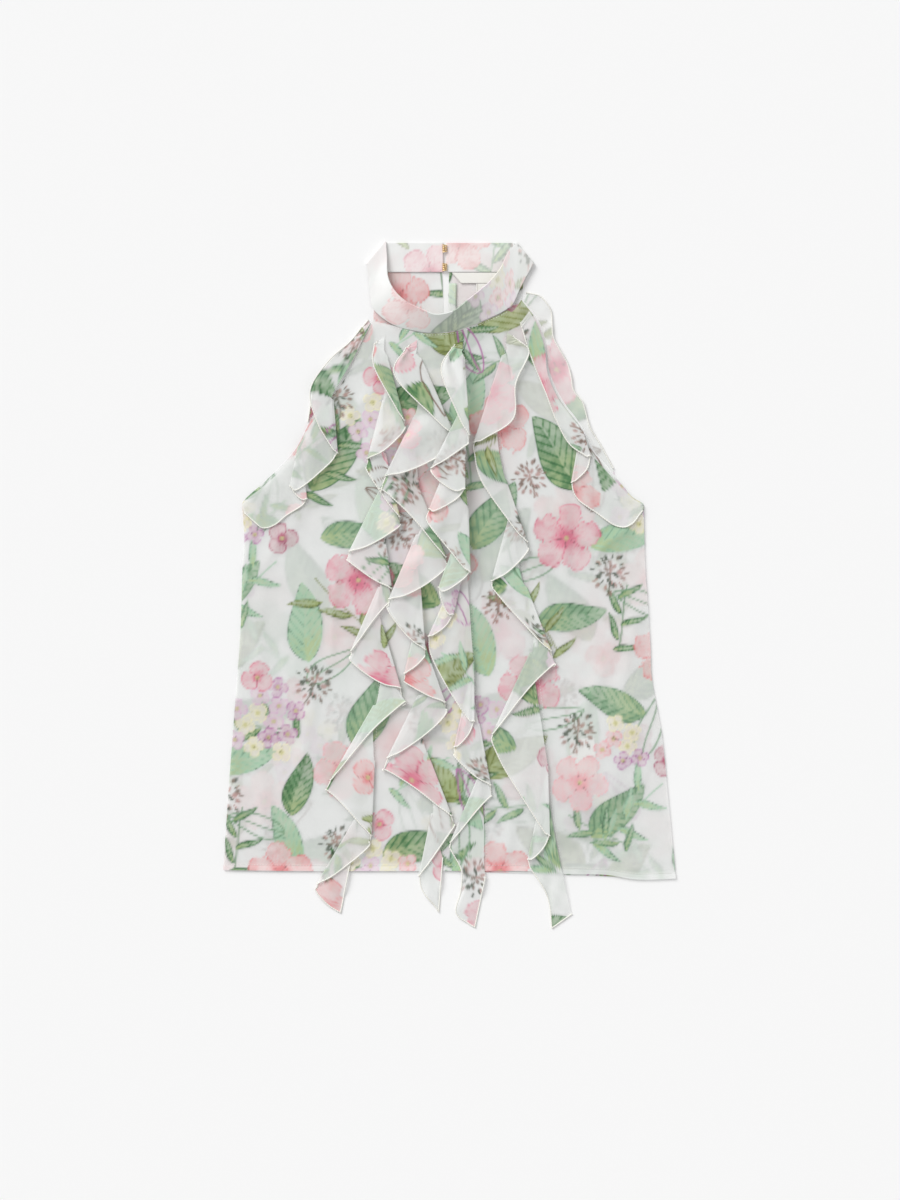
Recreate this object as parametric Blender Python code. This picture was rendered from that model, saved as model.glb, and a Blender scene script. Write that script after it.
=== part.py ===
"""Chiffon top: a sleeveless halter-neck blouse with cascade ruffles, lying flat on its back.

Every size below is in millimetres. The garment lies in the X-Y plane with the neck towards +Y, its front up (+Z)
and its back on the surface at Z = 0. The origin is the middle of its outline.
"""
import math

import bpy
import numpy as np

MM = 0.001

# Cloth and the distances between its layers
CLOTH = 1.0
COLLAR_CLOTH = 2.0
SEAM_GAP = 0.3
LAYER_GAP = 0.3

# Ruffles. A fold is at least FOLD_STEP high at the seam and FOLD_LOFT more at the free edge
FOLD_STEP = 1.45
FOLD_LOFT = 0.4
FOLD_BULGE = 0.9
SEAM_START = 0.08
EDGE_CREEP = 0.12
RUN_STEPS = 4
BEND_STEPS = 2
FOLD_STEPS = 3
ACROSS_STEPS = 4
BRIDGE_PASSES = 2

# Grid of heights on which the ruffles are laid one over another: cell size, half width, half length, samples a face
CELL = 1.5
REACH = (280.0, 400.0)
SAMPLES = 16

# Panels: the edges run from the hem up the side seam and round the armhole to the collar. Columns: x, y
LEFT_SIDE = [(-238, -298), (-232, -209), (-225, -117), (-220, -50), (-218, 13), (-216, 52), (-218, 81)]
LEFT_ARMHOLE = [(-81, 278), (-97, 244), (-106, 225), (-119, 205), (-131, 192), (-146, 174), (-161, 145),
                (-178, 125), (-195, 109), (-216, 90), (-218, 81)]
RIGHT_SIDE = [(237, -307), (230, -231), (222, -154), (212, -99), (210, -57), (205, 20), (203, 83)]
RIGHT_ARMHOLE = [(75, 300), (91, 278), (100, 251), (102, 226), (111, 203), (122, 186), (134, 171), (143, 156),
                 (150, 141), (164, 125), (183, 103), (192, 93), (202, 87), (203, 83)]
HEM = [(-238, -298), (-158, -299), (-52, -299), (74, -299), (121, -302), (163, -303), (197, -308), (237, -307)]
PANEL_COLUMNS = 16
PANEL_ROWS = 20
BACK_COLUMNS = 6
BACK_ROWS = 20
SLIT_ROWS = 7
ARMHOLE_SHARE = 0.6
NECK_CORNERS = [(-81, 278), (66, 288), (75, 300)]
BACK_NECK_CORNERS = [(-78, -80, 278), (78, 74, 300)]

# The front rises in soft waves, fades out towards its edges and goes over the care label
WAVE_HEIGHT = 1.2
WAVE_SIDES = (180.0, 220.0)
WAVE_HEM = (-295.0, -250.0)
NECK_MIDDLE = (-10.0, 268.0)
NECK_RADIUS = 45.0
NECK_LIFT = 1.7
NECK_LIFT_REACH = 95.0
CARE_BUMP = 1.6
CARE_BUMP_RADIUS = 28.0
CARE_BUMP_REACH = 42.0

# Back opening: a slit under the collar that narrows downwards
SLIT_X = -4.5
SLIT_TOP_WIDTH = 7.0
SLIT_END_WIDTH = 2.0
SLIT_LENGTH = 105.0
FACING_WIDTH = 8.0

# Collar band. Columns: bottom x, bottom y, top x, top y, rise of the top edge above the bottom edge
COLLAR_FRONT = [
    (-87, 337, -67, 361, 0),
    (-85, 318, -66, 345, 2),
    (-83, 303, -65, 324, 7),
    (-79, 289, -58, 309, 11),
    (-59, 274, -46, 297, 14),
    (-32, 267, -28, 288, 16),
    (-14, 266, -14, 283, 17),
    (5, 268, 4, 287, 16),
    (24, 274, 18, 298, 15),
    (38, 280, 29, 307, 13),
    (50, 285, 39, 316, 10),
    (59, 290, 47, 325, 8),
    (66, 296, 54, 335, 5),
    (75, 315, 61, 350, 2),
    (87, 337, 69, 359, 0),
]
COLLAR_BACK_Y = (329.5, 360.0)
COLLAR_BACK_ENDS = (-7.0, -3.9)
COLLAR_BACK_STEPS = 6
COLLAR_SIDE = 22.0
COLLAR_SETTLE = 0.2
COLLAR_LIFT = 3.9
COLLAR_FOLD = 1.3

# Cascade ruffles. Seam rows: x, y. Edge rows: seam y, edge x, edge y, extra height of the edge, folded there or
# not. Where the seam y is None the edge only bends
CASCADES = {
    "cascade_ruffle_1": {
        "seam": [(-68, 262), (-70, 100), (-76, -130), (-85, -215), (-104, -285)],
        "edge": [(262, -76, 257, 0, False), (None, -82, 236, 0, False), (248, -47, 169, 0, True),
                 (200, -87, 129, 1, True), (145, -52, 68, 0, True), (108, -107, 32, 1, True),
                 (68, -61, -7, 0, True), (5, -105, -72, 1, True), (-35, -51, -111, 0, True),
                 (-118, -127, -207, 1, True), (-176, -83, -266, 0, True), (-222, -141, -316, 0, True),
                 (-280, -115, -343, 0, False)],
    },
    "cascade_ruffle_2": {
        "seam": [(-34, 258), (-33, 100), (-28, -150), (-14, -250), (-6, -285)],
        "edge": [(258, -42, 253, 0, False), (None, -59, 222, 0, False), (246, 6, 154, 1, True),
                 (185, -69, 111, 1, True), (103, -3, 26, 0, True), (60, -65, -18, 1, True),
                 (5, -26, -71, 0, True), (-20, -48, -96, 1, True), (-50, -4, -126, 0, True),
                 (-108, -67, -184, 1, True), (-168, 3, -245, 0, True), (-232, -33, -308, 0, True),
                 (-280, -12, -342, 0, False)],
    },
    "cascade_ruffle_3": {
        "seam": [(14, 258), (18, 100), (26, -100), (36, -200), (38, -276), (38, -330)],
        "edge": [(258, 5, 253, 0, False), (None, -9, 223, 1, False), (247, 20, 153, 0, True),
                 (192, -21, 119, 0, True), (172, 15, 97, 0, True), (172, -23, 76, 1, True),
                 (88, 21, 10, 0, True), (82, -13, -6, 1, True), (42, 2, -34, 0, True),
                 (42, -24, -57, 1, True), (-72, 25, -146, 0, True), (-80, 4, -173, 1, True),
                 (-138, 43, -213, 0, True), (-188, -1, -273, 0, True), (None, 14, -306, 0, False),
                 (None, 6, -342, 0, False), (-300, 26, -358, 0, False)],
    },
    "cascade_ruffle_4": {
        "seam": [(59, 266), (52, 150), (74, 27), (95, -110), (108, -240), (124, -319), (130, -345)],
        "edge": [(266, 66, 262, 0, False), (None, 83, 243, 0, False), (None, 66, 204, 1, False),
                 (None, 72, 181, 1, False), (250, 24, 146, 1, True), (None, 36, 104, 1, False),
                 (118, 82, 42, 0, True), (78, 43, 1, 1, True), (None, 54, -14, 0, False),
                 (5, 107, -72, 0, True), (-62, 43, -159, 1, True), (None, 54, -186, 1, False),
                 (-180, 104, -266, 0, True), (-190, 81, -291, 0, True), (None, 102, -325, 0, False),
                 (-343, 107, -359, 0, False)],
    },
}
# The order in which the cloth is laid, lowest first
LAYING = ["armhole_ruffle_back_left", "armhole_ruffle_back_right", "front_panel", "armhole_ruffle_front_left",
          "armhole_ruffle_front_right", "cascade_ruffle_1", "cascade_ruffle_2", "cascade_ruffle_3", "cascade_ruffle_4"]

# Armhole frills. Edge rows as above, with the distance along the armhole from the collar in place of the seam y
ARMHOLE_FRILLS = {
    "armhole_ruffle_front_left": {
        "side": "left", "out": 0.0,
        "edge": [(2, -93, 271, 0, False), (None, -106, 255, 0, False), (None, -125, 239, 0, False),
                 (88, -147, 203, 0, False), (None, -142, 178, 0, False), (89, -118, 135, 0, True),
                 (150, -168, 100, 0, True), (150, -150, 87, 0, True), (None, -173, 73, 0, False),
                 (None, -193, 60, 0, False), (240, -216, 77, 0, False)],
    },
    "armhole_ruffle_front_right": {
        "side": "right", "out": 0.0,
        "edge": [(14, 74, 276, 0, False), (None, 84, 243, 0, False), (None, 100, 203, 0, False),
                 (125, 121, 154, 0, False), (152, 148, 132, 0, True), (152, 127, 104, 0, True),
                 (None, 135, 90, 0, False), (None, 155, 76, 0, False), (None, 172, 64, 0, False),
                 (None, 188, 63, 0, False), (257, 202, 79, 0, False)],
    },
    "armhole_ruffle_back_left": {
        "side": "left", "out": 0.6,
        "edge": [(4, -86, 279, 0, False), (None, -104, 257, 0, False), (None, -122, 240, 0, False),
                 (None, -139, 218, 0, False), (None, -144, 203, 0, False), (126, -149, 173, 0, False)],
    },
    "armhole_ruffle_back_right": {
        "side": "right", "out": 0.6,
        "edge": [(2, 80, 308, 0, False), (None, 96, 303, 2, False), (None, 107, 285, 0, False),
                 (None, 108, 262, 2, False), (None, 126, 228, 0, False), (None, 127, 210, 2, False),
                 (None, 142, 188, 0, False), (None, 144, 172, 2, False), (None, 158, 148, 0, False),
                 (214, 171, 124, 1, False)],
    },
}

# Labels and fastenings. Columns: x, y of the middle, width, length, turn in degrees, slant of the left end
LABELS = {
    "neck_label": (25.4, 323.3, 47.2, 11.0, 0.0, 9.6),
    "size_label": (34.5, 310.8, 14.0, 13.0, 0.0, 0.0),
    "care_label": (140.0, -182.0, 26.0, 44.0, 4.0, 0.0),
}
FASTENINGS = {"fastening_1": (-5.5, 354.0), "fastening_2": (-5.5, 334.4)}
FASTENING_SIZE = (5.8, 9.4, 1.8)
FACING_TOP_GAP = 12.0
FACING_ROWS = 5

COLOURS = {
    "chiffon": (0.86, 0.89, 0.87, 1.0),
    "ruffle": (0.90, 0.88, 0.87, 1.0),
    "label": (0.93, 0.92, 0.89, 1.0),
    "gold": (0.80, 0.62, 0.33, 1.0),
}


def clear_scene():
    for thing in list(bpy.data.objects):
        bpy.data.objects.remove(thing, do_unlink=True)


def material(name, roughness=0.85, metallic=0.0):
    made = bpy.data.materials.get(name)
    if made:
        return made
    made = bpy.data.materials.new(name)
    made.use_nodes = True
    shader = made.node_tree.nodes["Principled BSDF"]
    shader.inputs["Base Color"].default_value = COLOURS[name]
    shader.inputs["Roughness"].default_value = roughness
    shader.inputs["Metallic"].default_value = metallic
    return made


def ramp(value, start, end):
    """0 before start, 1 after end and a soft slope between them."""
    t = np.clip((np.asarray(value, float) - start) / (end - start), 0.0, 1.0)
    return t * t * (3.0 - 2.0 * t)


def smooth_path(rows, steps=12):
    """A Catmull-Rom curve through the rows, as many close points."""
    p = np.array(rows, float)
    ends = np.vstack([2 * p[0] - p[1], p, 2 * p[-1] - p[-2]])
    out = []
    for i in range(1, len(ends) - 2):
        a, b, c, d = ends[i - 1 : i + 3]
        for t in np.arange(steps) / steps:
            out.append(0.5 * (2 * b + (c - a) * t + (2 * a - 5 * b + 4 * c - d) * t**2
                              + (3 * b - a - 3 * c + d) * t**3))
    out.append(p[-1])
    return np.array(out)


def lengths(path):
    """The distance along a path at each of its points."""
    return np.concatenate([[0.0], np.cumsum(np.linalg.norm(np.diff(path[:, :2], axis=0), axis=1))])


def at_distance(path, distance):
    """Points of a path at the given distances from its start."""
    along = lengths(path)
    return np.stack([np.interp(distance, along, path[:, k]) for k in range(path.shape[1])], axis=-1)


def at_fraction(path, fraction):
    return at_distance(path, np.asarray(fraction) * lengths(path)[-1])


def hem_y(x):
    hem = np.array(HEM, float)
    return np.interp(x, hem[:, 0], hem[:, 1])


def front_rise(x, y):
    """Height of the front panel's underside: soft waves, raised at the neck and over the care label."""
    inside = (1 - ramp(np.abs(x), *WAVE_SIDES)) * ramp(y, *WAVE_HEM)
    waves = 0.5 + 0.28 * np.sin(x / 31.0 + y / 90.0) + 0.22 * np.sin(x / 17.0 - y / 60.0 + 1.0)
    from_neck = np.hypot(x - NECK_MIDDLE[0], (y - NECK_MIDDLE[1]) * 0.9)
    neck = NECK_LIFT * (1 - ramp(from_neck, NECK_RADIUS, NECK_RADIUS + NECK_LIFT_REACH))
    care_x, care_y = LABELS["care_label"][:2]
    from_care = np.hypot(x - care_x, y - care_y)
    care = CARE_BUMP * (1 - ramp(from_care, CARE_BUMP_RADIUS, CARE_BUMP_RADIUS + CARE_BUMP_REACH))
    return CLOTH + LAYER_GAP + np.maximum(inside * waves, 0.0) * WAVE_HEIGHT + neck + care


def thicken(name, points, faces, up, wall, slot):
    """A closed body from a surface: the wall is laid half on each side along the directions in up."""
    points = np.asarray(points, float)
    half = np.asarray(up, float) * (wall / 2)
    count = len(points)
    faces = triangles(points, faces)
    walls = {}
    for face in faces:
        for a, b in zip(face, face[1:] + face[:1]):
            walls[(a, b)] = True
    rim = [(a, b) for a, b in walls if (b, a) not in walls]
    solid = list(faces) + [tuple(count + i for i in reversed(face)) for face in faces]
    solid += [(b, a, count + a, count + b) for a, b in rim]
    corners = np.vstack([points + half, points - half]) * MM
    mesh = bpy.data.meshes.new(name)
    mesh.from_pydata(corners.tolist(), [], solid)
    mesh.materials.append(material(slot))
    mesh.validate()
    if volume(corners, solid) < 0:
        mesh.flip_normals()
    mesh.shade_smooth()
    mesh.set_sharp_from_angle(angle=math.radians(50))
    thing = bpy.data.objects.new(name, mesh)
    bpy.context.scene.collection.objects.link(thing)
    return thing


def triangles(points, faces):
    """Each four-sided face as two triangles, split along its shorter diagonal, so that both sides of a wall match."""
    made = []
    for a, b, c, d in faces:
        if np.linalg.norm(points[a] - points[c]) < np.linalg.norm(points[b] - points[d]):
            made += [(a, b, c), (a, c, d)]
        else:
            made += [(a, b, d), (b, c, d)]
    return made


def volume(corners, faces):
    total = 0.0
    for face in faces:
        for i in range(1, len(face) - 1):
            total += np.dot(corners[face[0]], np.cross(corners[face[i]], corners[face[i + 1]]))
    return total / 6.0


def grid_faces(rows, columns, start=0):
    """Quads of a grid whose point number is start + row * columns + column."""
    faces = []
    for i in range(rows - 1):
        for j in range(columns - 1):
            a = start + i * columns + j
            faces.append((a, a + 1, a + columns + 1, a + columns))
    return faces


def grid_normals(grid):
    """Unit normals of a grid of points with shape (rows, columns, 3)."""
    along = np.gradient(grid, axis=0)
    across = np.gradient(grid, axis=1)
    normal = np.cross(along, across)
    return normal / np.maximum(np.linalg.norm(normal, axis=-1, keepdims=True), 1e-9)


def edge_of(side_rows, armhole_rows, count):
    """Points up one side of the body: ARMHOLE_SHARE of them lie round the armhole, the others on the side seam."""
    side = smooth_path(side_rows)
    path = np.vstack([side, smooth_path(armhole_rows[::-1])[1:]])
    corner = lengths(side)[-1] / lengths(path)[-1]
    return at_fraction(path, np.interp(np.linspace(0, 1, count), [0, 1 - ARMHOLE_SHARE, 1], [0, corner, 1]))


def patch(left, right, bottom, top):
    """A grid between four edges: each row runs from left to right."""
    rows, columns = len(left), len(bottom)
    u = np.linspace(0, 1, columns)[None, :, None]
    w = np.linspace(0, 1, rows)[:, None, None]
    across = (1 - u) * left[:, None] + u * right[:, None]
    along = (1 - w) * bottom[None] + w * top[None]
    corners = ((1 - u) * ((1 - w) * left[0] + w * left[-1]) + u * ((1 - w) * right[0] + w * right[-1]))
    return across + along - corners


def below_collar(row):
    """A point on the front's neck edge, clear of the collar band's lower edge."""
    bx, by, tx, ty, _ = row
    line = np.array([tx - bx, ty - by], float)
    line /= np.linalg.norm(line)
    return tuple(np.array([bx, by]) - line * (SEAM_GAP + COLLAR_CLOTH / 2))


def front_panel():
    left = edge_of(LEFT_SIDE, LEFT_ARMHOLE, PANEL_ROWS + 1)
    right = edge_of(RIGHT_SIDE, RIGHT_ARMHOLE, PANEL_ROWS + 1)
    hem = at_fraction(smooth_path(HEM), np.linspace(0, 1, PANEL_COLUMNS + 1))
    neck_rows = NECK_CORNERS[:1] + [below_collar(row) for row in COLLAR_FRONT if -70 < row[0] < 60] + NECK_CORNERS[1:]
    neck = at_fraction(smooth_path(neck_rows), np.linspace(0, 1, PANEL_COLUMNS + 1))
    flat = patch(left, right, hem, neck)
    z = front_rise(flat[..., 0], flat[..., 1]) + CLOTH / 2
    grid = np.dstack([flat, z])
    faces = grid_faces(PANEL_ROWS + 1, PANEL_COLUMNS + 1)
    thicken("front_panel", grid.reshape(-1, 3), faces, (0, 0, 1), CLOTH, "chiffon")
    return grid


def back_panel():
    """The back, in two halves that part above the end of the slit."""
    top_y = COLLAR_BACK_Y[0] - SEAM_GAP
    slit_end = top_y - SLIT_LENGTH
    left = edge_of(LEFT_SIDE, LEFT_ARMHOLE, BACK_ROWS + 1)
    right = edge_of(RIGHT_SIDE, RIGHT_ARMHOLE, BACK_ROWS + 1)
    marks = [hem_y(SLIT_X), slit_end, top_y]
    rows_y = np.interp(np.arange(BACK_ROWS + 1), [0, BACK_ROWS - SLIT_ROWS, BACK_ROWS], marks)
    for edge, (top_x, x, y) in zip((left, right), BACK_NECK_CORNERS):
        edge[-2:] = (x, y), (top_x, top_y)
    opening = np.interp(rows_y, [slit_end - 0.1, slit_end, top_y], [0, SLIT_END_WIDTH, SLIT_TOP_WIDTH]) / 2
    points = []
    faces = []
    for side, edge, sign in (("left", left, -1), ("right", right, 1)):
        middle = np.column_stack([np.full(len(rows_y), SLIT_X) + sign * opening, rows_y])
        t = np.linspace(0, 1, BACK_COLUMNS + 1)
        outer = edge[:, None] * (1 - t[None, :, None]) + middle[:, None] * t[None, :, None]
        outer[0, :, 1] = hem_y(outer[0, :, 0])
        if side == "right":
            outer = outer[:, ::-1]
        start = len(points)
        points.extend(outer.reshape(-1, 2).tolist())
        faces += grid_faces(BACK_ROWS + 1, BACK_COLUMNS + 1, start)
    number = {}
    kept = []
    place = []
    for x, y in points:
        key = (round(x, 4), round(y, 4))
        if key not in number:
            number[key] = len(kept)
            kept.append((x, y, CLOTH / 2))
        place.append(number[key])
    faces = [tuple(place[i] for i in face) for face in faces]
    return thicken("back_panel", kept, faces, (0, 0, 1), CLOTH, "chiffon")


def hairpin(upper, lower, out, bulge):
    """A half-round fold between two rows of points that lie one over the other: rows that bulge towards out, and the
    outward direction at each."""
    rows = []
    facing = []
    radius = np.minimum(np.abs(upper[:, 2] - lower[:, 2]) / 2, bulge)
    for k in range(1, FOLD_STEPS):
        angle = math.pi * k / FOLD_STEPS
        row = upper + (lower - upper) * (1 - math.cos(angle)) / 2
        row[:, :2] += np.outer(radius * math.sin(angle), out)
        rows.append(row)
        facing.append(np.array([out[0] * math.sin(angle), out[1] * math.sin(angle), math.cos(angle)]))
    return rows, facing


def between_folds(rows):
    """The rows in groups, each from one fold or end of the strip to the next."""
    groups = [[rows[0]]]
    for row in rows[1:]:
        groups[-1].append(row)
        if row[4]:
            groups.append([row])
    return [group for group in groups if len(group) > 1]


def lines_between(seam_at, group, seam_window, edge_window):
    """Plan ends of the lines across one stretch, and how far along it each end has come. Each end moves during its own
    window of the stretch, and the free end creeps on outside it."""
    path = smooth_path([row[1:4] for row in group])
    bends = len(group) - 2
    count = RUN_STEPS + BEND_STEPS * bends + 1
    t = np.linspace(0, 1, count)
    edge_part = EDGE_CREEP * t + (1 - EDGE_CREEP) * ramp(t, *edge_window)
    edge = at_fraction(path, edge_part)
    given = [(row[0], i / (len(group) - 1)) for i, row in enumerate(group) if row[0] is not None]
    places = [place for place, _ in given]
    if len(given) == 2:
        seam_part = ramp(t, *seam_window)
    else:
        shares = (np.array(places) - places[0]) / (places[-1] - places[0])
        seam_part = np.interp(edge_part, [at for _, at in given], shares)
    seam = np.array([seam_at(places[0] + (places[-1] - places[0]) * part) for part in seam_part])
    return seam, edge


def least_turn(seam, edge, sign):
    """The least turn of the cloth from line to line; below 0 some of it would be turned over."""
    least = 1.0
    for v in (SEAM_START, 0.5, 1.0):
        points = seam * (1 - v) + edge[:, :2] * v
        step = np.diff(points, axis=0)
        line = (edge[:, :2] - seam)[:-1]
        cross = step[:, 0] * line[:, 1] - step[:, 1] * line[:, 0]
        least = min(least, float((sign * cross / (np.linalg.norm(line, axis=1) * 10.0)).min()))
    return least


def best_lines(seam_at, group, signs):
    windows = [(0, 1), (0, 0.75), (0, 0.5), (0.25, 1), (0.5, 1)]
    best = None
    for sign in signs:
        for seam_window in windows:
            for edge_window in windows:
                found = lines_between(seam_at, group, seam_window, edge_window)
                score = least_turn(found[0], found[1], sign)
                if best is None or score > best[0]:
                    best = (score, sign, found)
    return best[1], best[2]


class Pile:
    """The top of all that has been laid so far, as heights on a fine grid over the garment."""

    def __init__(self):
        self.top = np.full((int(2 * REACH[0] / CELL), int(2 * REACH[1] / CELL)), -1.0)

    def cells(self, points):
        place = (points[..., :2] + np.array(REACH)) / CELL
        return place[..., 0].astype(int), place[..., 1].astype(int)

    def under(self, plan):
        """The highest place under the faces round each point of a plan grid."""
        across, along = self.cells(face_samples(plan))
        highest = self.top[across, along].max(axis=(2, 3))
        padded = np.pad(highest, 1, constant_values=-1.0)
        return np.maximum.reduce([padded[:-1, :-1], padded[1:, :-1], padded[:-1, 1:], padded[1:, 1:]])

    def lay(self, grid):
        """Adds a cloth whose middle surface is the grid."""
        points = face_samples(grid)
        across, along = self.cells(points)
        for dx in (-1, 0, 1):
            for dy in (-1, 0, 1):
                np.maximum.at(self.top, (across + dx, along + dy), points[..., 2] + CLOTH / 2)


def face_samples(grid):
    """Points spread over each face of a grid, with shape (rows, columns, samples, samples, values)."""
    t = np.linspace(0, 1, SAMPLES)
    u = t[None, None, :, None, None]
    v = t[None, None, None, :, None]
    a, b, c, d = [part[:, :, None, None, :] for part in (grid[:-1, :-1], grid[1:, :-1], grid[:-1, 1:], grid[1:, 1:])]
    return (a * (1 - u) + b * u) * (1 - v) + (c * (1 - u) + d * u) * v


def ruffle_stretches(seam_at, rows):
    """The flat stretches of a ruffle from its top to its end, each as a grid of plan points, the lift of its points
    and the side to which its last fold bulges."""
    made = []
    signs = (1, -1)
    v = np.linspace(SEAM_START, 1, ACROSS_STEPS + 1)[None, :, None]
    for group in between_folds(rows):
        sign, (seam, edge) = best_lines(seam_at, group, signs)
        signs = (-sign,)
        plan = seam[:, None] * (1 - v) + edge[:, None, :2] * v
        lift = edge[:, None, 2] * v[..., 0] ** 2
        line = edge[-1, :2] - seam[-1]
        line = line / np.linalg.norm(line)
        made.append({"plan": plan, "lift": lift, "out": sign * np.array([line[1], -line[0]])})
    return made


def lay_stretch(stretch, below, pile):
    """Gives one stretch its heights: on the surface, on the pile and over the stretch that its last fold leads to."""
    plan = stretch["plan"]
    z = np.maximum(pile.under(plan) + LAYER_GAP, 0) + CLOTH / 2 + stretch["lift"]
    if below is not None:
        across = np.linspace(0, 1, z.shape[1])
        z[-1] = np.maximum(z[-1], below["grid"][0, :, 2] + FOLD_STEP + FOLD_LOFT * across)
    for _ in range(BRIDGE_PASSES):
        z[1:-1] = np.maximum(z[1:-1], (z[:-2] + z[2:]) / 2)
    stretch["grid"] = np.dstack([plan, z])
    pile.lay(stretch["grid"])


def ruffle_body(name, stretches):
    """The ruffle's wall: laid straight up and down on its stretches, and round each fold."""
    rows = []
    facing = []
    upwards = np.array([0.0, 0.0, 1.0])
    for i, stretch in enumerate(stretches):
        rows += list(stretch["grid"])
        facing += [upwards] * len(stretch["grid"])
        if i + 1 < len(stretches):
            turn = upwards[2]
            fold_rows, fold_facing = hairpin(stretch["grid"][-1], stretches[i + 1]["grid"][0],
                                             stretch["out"], FOLD_BULGE)
            rows += fold_rows
            facing += [turn * direction for direction in fold_facing]
            upwards = -upwards
    grid = np.array(rows)
    up = np.repeat(np.array(facing)[:, None], grid.shape[1], axis=1)
    faces = grid_faces(*grid.shape[:2])
    return thicken(name, grid.reshape(-1, 3), faces, up.reshape(-1, 3), CLOTH, "ruffle")


def cascade_stretches(cut):
    path = smooth_path(cut["seam"])[::-1]

    def seam_at(y):
        return np.array([np.interp(y, path[:, 1], path[:, 0]), y])

    return ruffle_stretches(seam_at, cut["edge"])


def frill_stretches(cut):
    left = cut["side"] == "left"
    path = smooth_path(LEFT_ARMHOLE if left else RIGHT_ARMHOLE)
    away = np.array([-cut["out"] if left else cut["out"], cut["out"]])

    def seam_at(distance):
        return at_distance(path, distance) + away

    return ruffle_stretches(seam_at, cut["edge"])


def ruffles(front):
    """All ruffles, laid one over another and over the front panel."""
    stretches = {name: cascade_stretches(cut) for name, cut in CASCADES.items()}
    stretches.update({name: frill_stretches(cut) for name, cut in ARMHOLE_FRILLS.items()})
    pile = Pile()
    for name in LAYING:
        if name == "front_panel":
            pile.lay(front)
            continue
        below = None
        for stretch in reversed(stretches[name]):
            lay_stretch(stretch, below, pile)
            below = stretch
        ruffle_body(name, stretches[name])


def collar():
    """One band from the left back end round the front to the right back end, folded over at each side."""
    low = COLLAR_CLOTH / 2
    high = low + 2 * COLLAR_FOLD
    bottom_y, top_y = COLLAR_BACK_Y
    left_fold, right_fold = COLLAR_FRONT[0], COLLAR_FRONT[-1]
    stations = []
    for x in np.linspace(COLLAR_BACK_ENDS[0], left_fold[0] + COLLAR_SIDE, COLLAR_BACK_STEPS):
        stations.append((np.array([x, bottom_y, low]), np.array([x, top_y, low])))
    corner = (np.array([left_fold[0], left_fold[1], low]), np.array([left_fold[2], left_fold[3], low]))
    stations.append(corner)
    front = smooth_path(COLLAR_FRONT, 2)
    fraction = np.linspace(0, 1, len(front))
    settled = ramp(fraction, 0, COLLAR_SETTLE) * ramp(1 - fraction, 0, COLLAR_SETTLE)
    base = high + (COLLAR_LIFT - high) * settled
    rows = [(np.array([bx, by, z]), np.array([tx, ty, z + rise])) for (bx, by, tx, ty, rise), z in zip(front, base)]
    stations += collar_fold(corner, rows[0], -1)
    stations += rows
    corner = (np.array([right_fold[0], right_fold[1], low]), np.array([right_fold[2], right_fold[3], low]))
    stations += collar_fold(rows[-1], corner, 1)
    stations.append(corner)
    for x in np.linspace(right_fold[0] - COLLAR_SIDE, COLLAR_BACK_ENDS[1], COLLAR_BACK_STEPS):
        stations.append((np.array([x, bottom_y, low]), np.array([x, top_y, low])))
    seam = np.array([s for s, _ in stations])
    edge = np.array([e for _, e in stations])
    v = np.linspace(0, 1, ACROSS_STEPS + 1)[None, :, None]
    grid = seam[:, None] * (1 - v) + edge[:, None] * v
    up = grid_normals(grid)
    faces = grid_faces(*grid.shape[:2])
    return thicken("collar", grid.reshape(-1, 3), faces, up.reshape(-1, 3), COLLAR_CLOTH, "chiffon")


def collar_fold(before, after, sign):
    """The half-round turn of the band at its left (-1) or right (1) side, as stations."""
    line = before[1][:2] - before[0][:2]
    line = line / np.linalg.norm(line)
    out = sign * np.array([line[1], -line[0]])
    return [tuple(row) for row in hairpin(np.array(before), np.array(after), out, COLLAR_FOLD)[0]]


def slit_facing():
    top = COLLAR_BACK_Y[0] - FACING_TOP_GAP
    end = COLLAR_BACK_Y[0] - SLIT_LENGTH
    rows = np.linspace(top, end, FACING_ROWS)
    inner = SLIT_X + np.interp(rows, [end, top], [SLIT_END_WIDTH, SLIT_TOP_WIDTH]) / 2
    points = []
    for y, x in zip(rows, inner):
        points += [(x, y, 1.5 * CLOTH + LAYER_GAP), (x + FACING_WIDTH, y, 1.5 * CLOTH + LAYER_GAP)]
    return thicken("slit_facing", points, grid_faces(len(rows), 2), (0, 0, 1), CLOTH, "chiffon")


def labels():
    for name, (x, y, width, length, turn, slant) in LABELS.items():
        c, s = math.cos(math.radians(turn)), math.sin(math.radians(turn))
        points = []
        for v in (-0.5, 0.5):
            for u in (-0.5, 0.5):
                dx, dy = u * width + slant * (0.5 - u) * (0.5 - v), v * length
                points.append((x + c * dx - s * dy, y + s * dx + c * dy, 1.5 * CLOTH + LAYER_GAP))
        thicken(name, points, grid_faces(2, 2), (0, 0, 1), CLOTH, "label")


def fastenings():
    """Small metal hooks that bridge the two back ends of the collar."""
    width, length, height = FASTENING_SIZE
    for name, (x, y) in FASTENINGS.items():
        arc = [(math.cos(a) * width / 2, math.sin(a) * height) for a in np.linspace(math.pi, 0, 7)]
        bottom = COLLAR_CLOTH + LAYER_GAP
        corners = []
        for end in (-0.5, 0.5):
            corners += [((x + dx) * MM, (y + end * length) * MM, (bottom + dz) * MM) for dx, dz in arc]
        count = len(arc)
        faces = [(i, i + 1, count + i + 1, count + i) for i in range(count - 1)]
        faces += [(count - 1, 0, count, 2 * count - 1), tuple(reversed(range(count))), tuple(range(count, 2 * count))]
        mesh = bpy.data.meshes.new(name)
        mesh.from_pydata(corners, [], faces)
        mesh.materials.append(material("gold", 0.3, 1.0))
        if volume(np.array(corners), faces) < 0:
            mesh.flip_normals()
        thing = bpy.data.objects.new(name, mesh)
        bpy.context.scene.collection.objects.link(thing)


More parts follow.
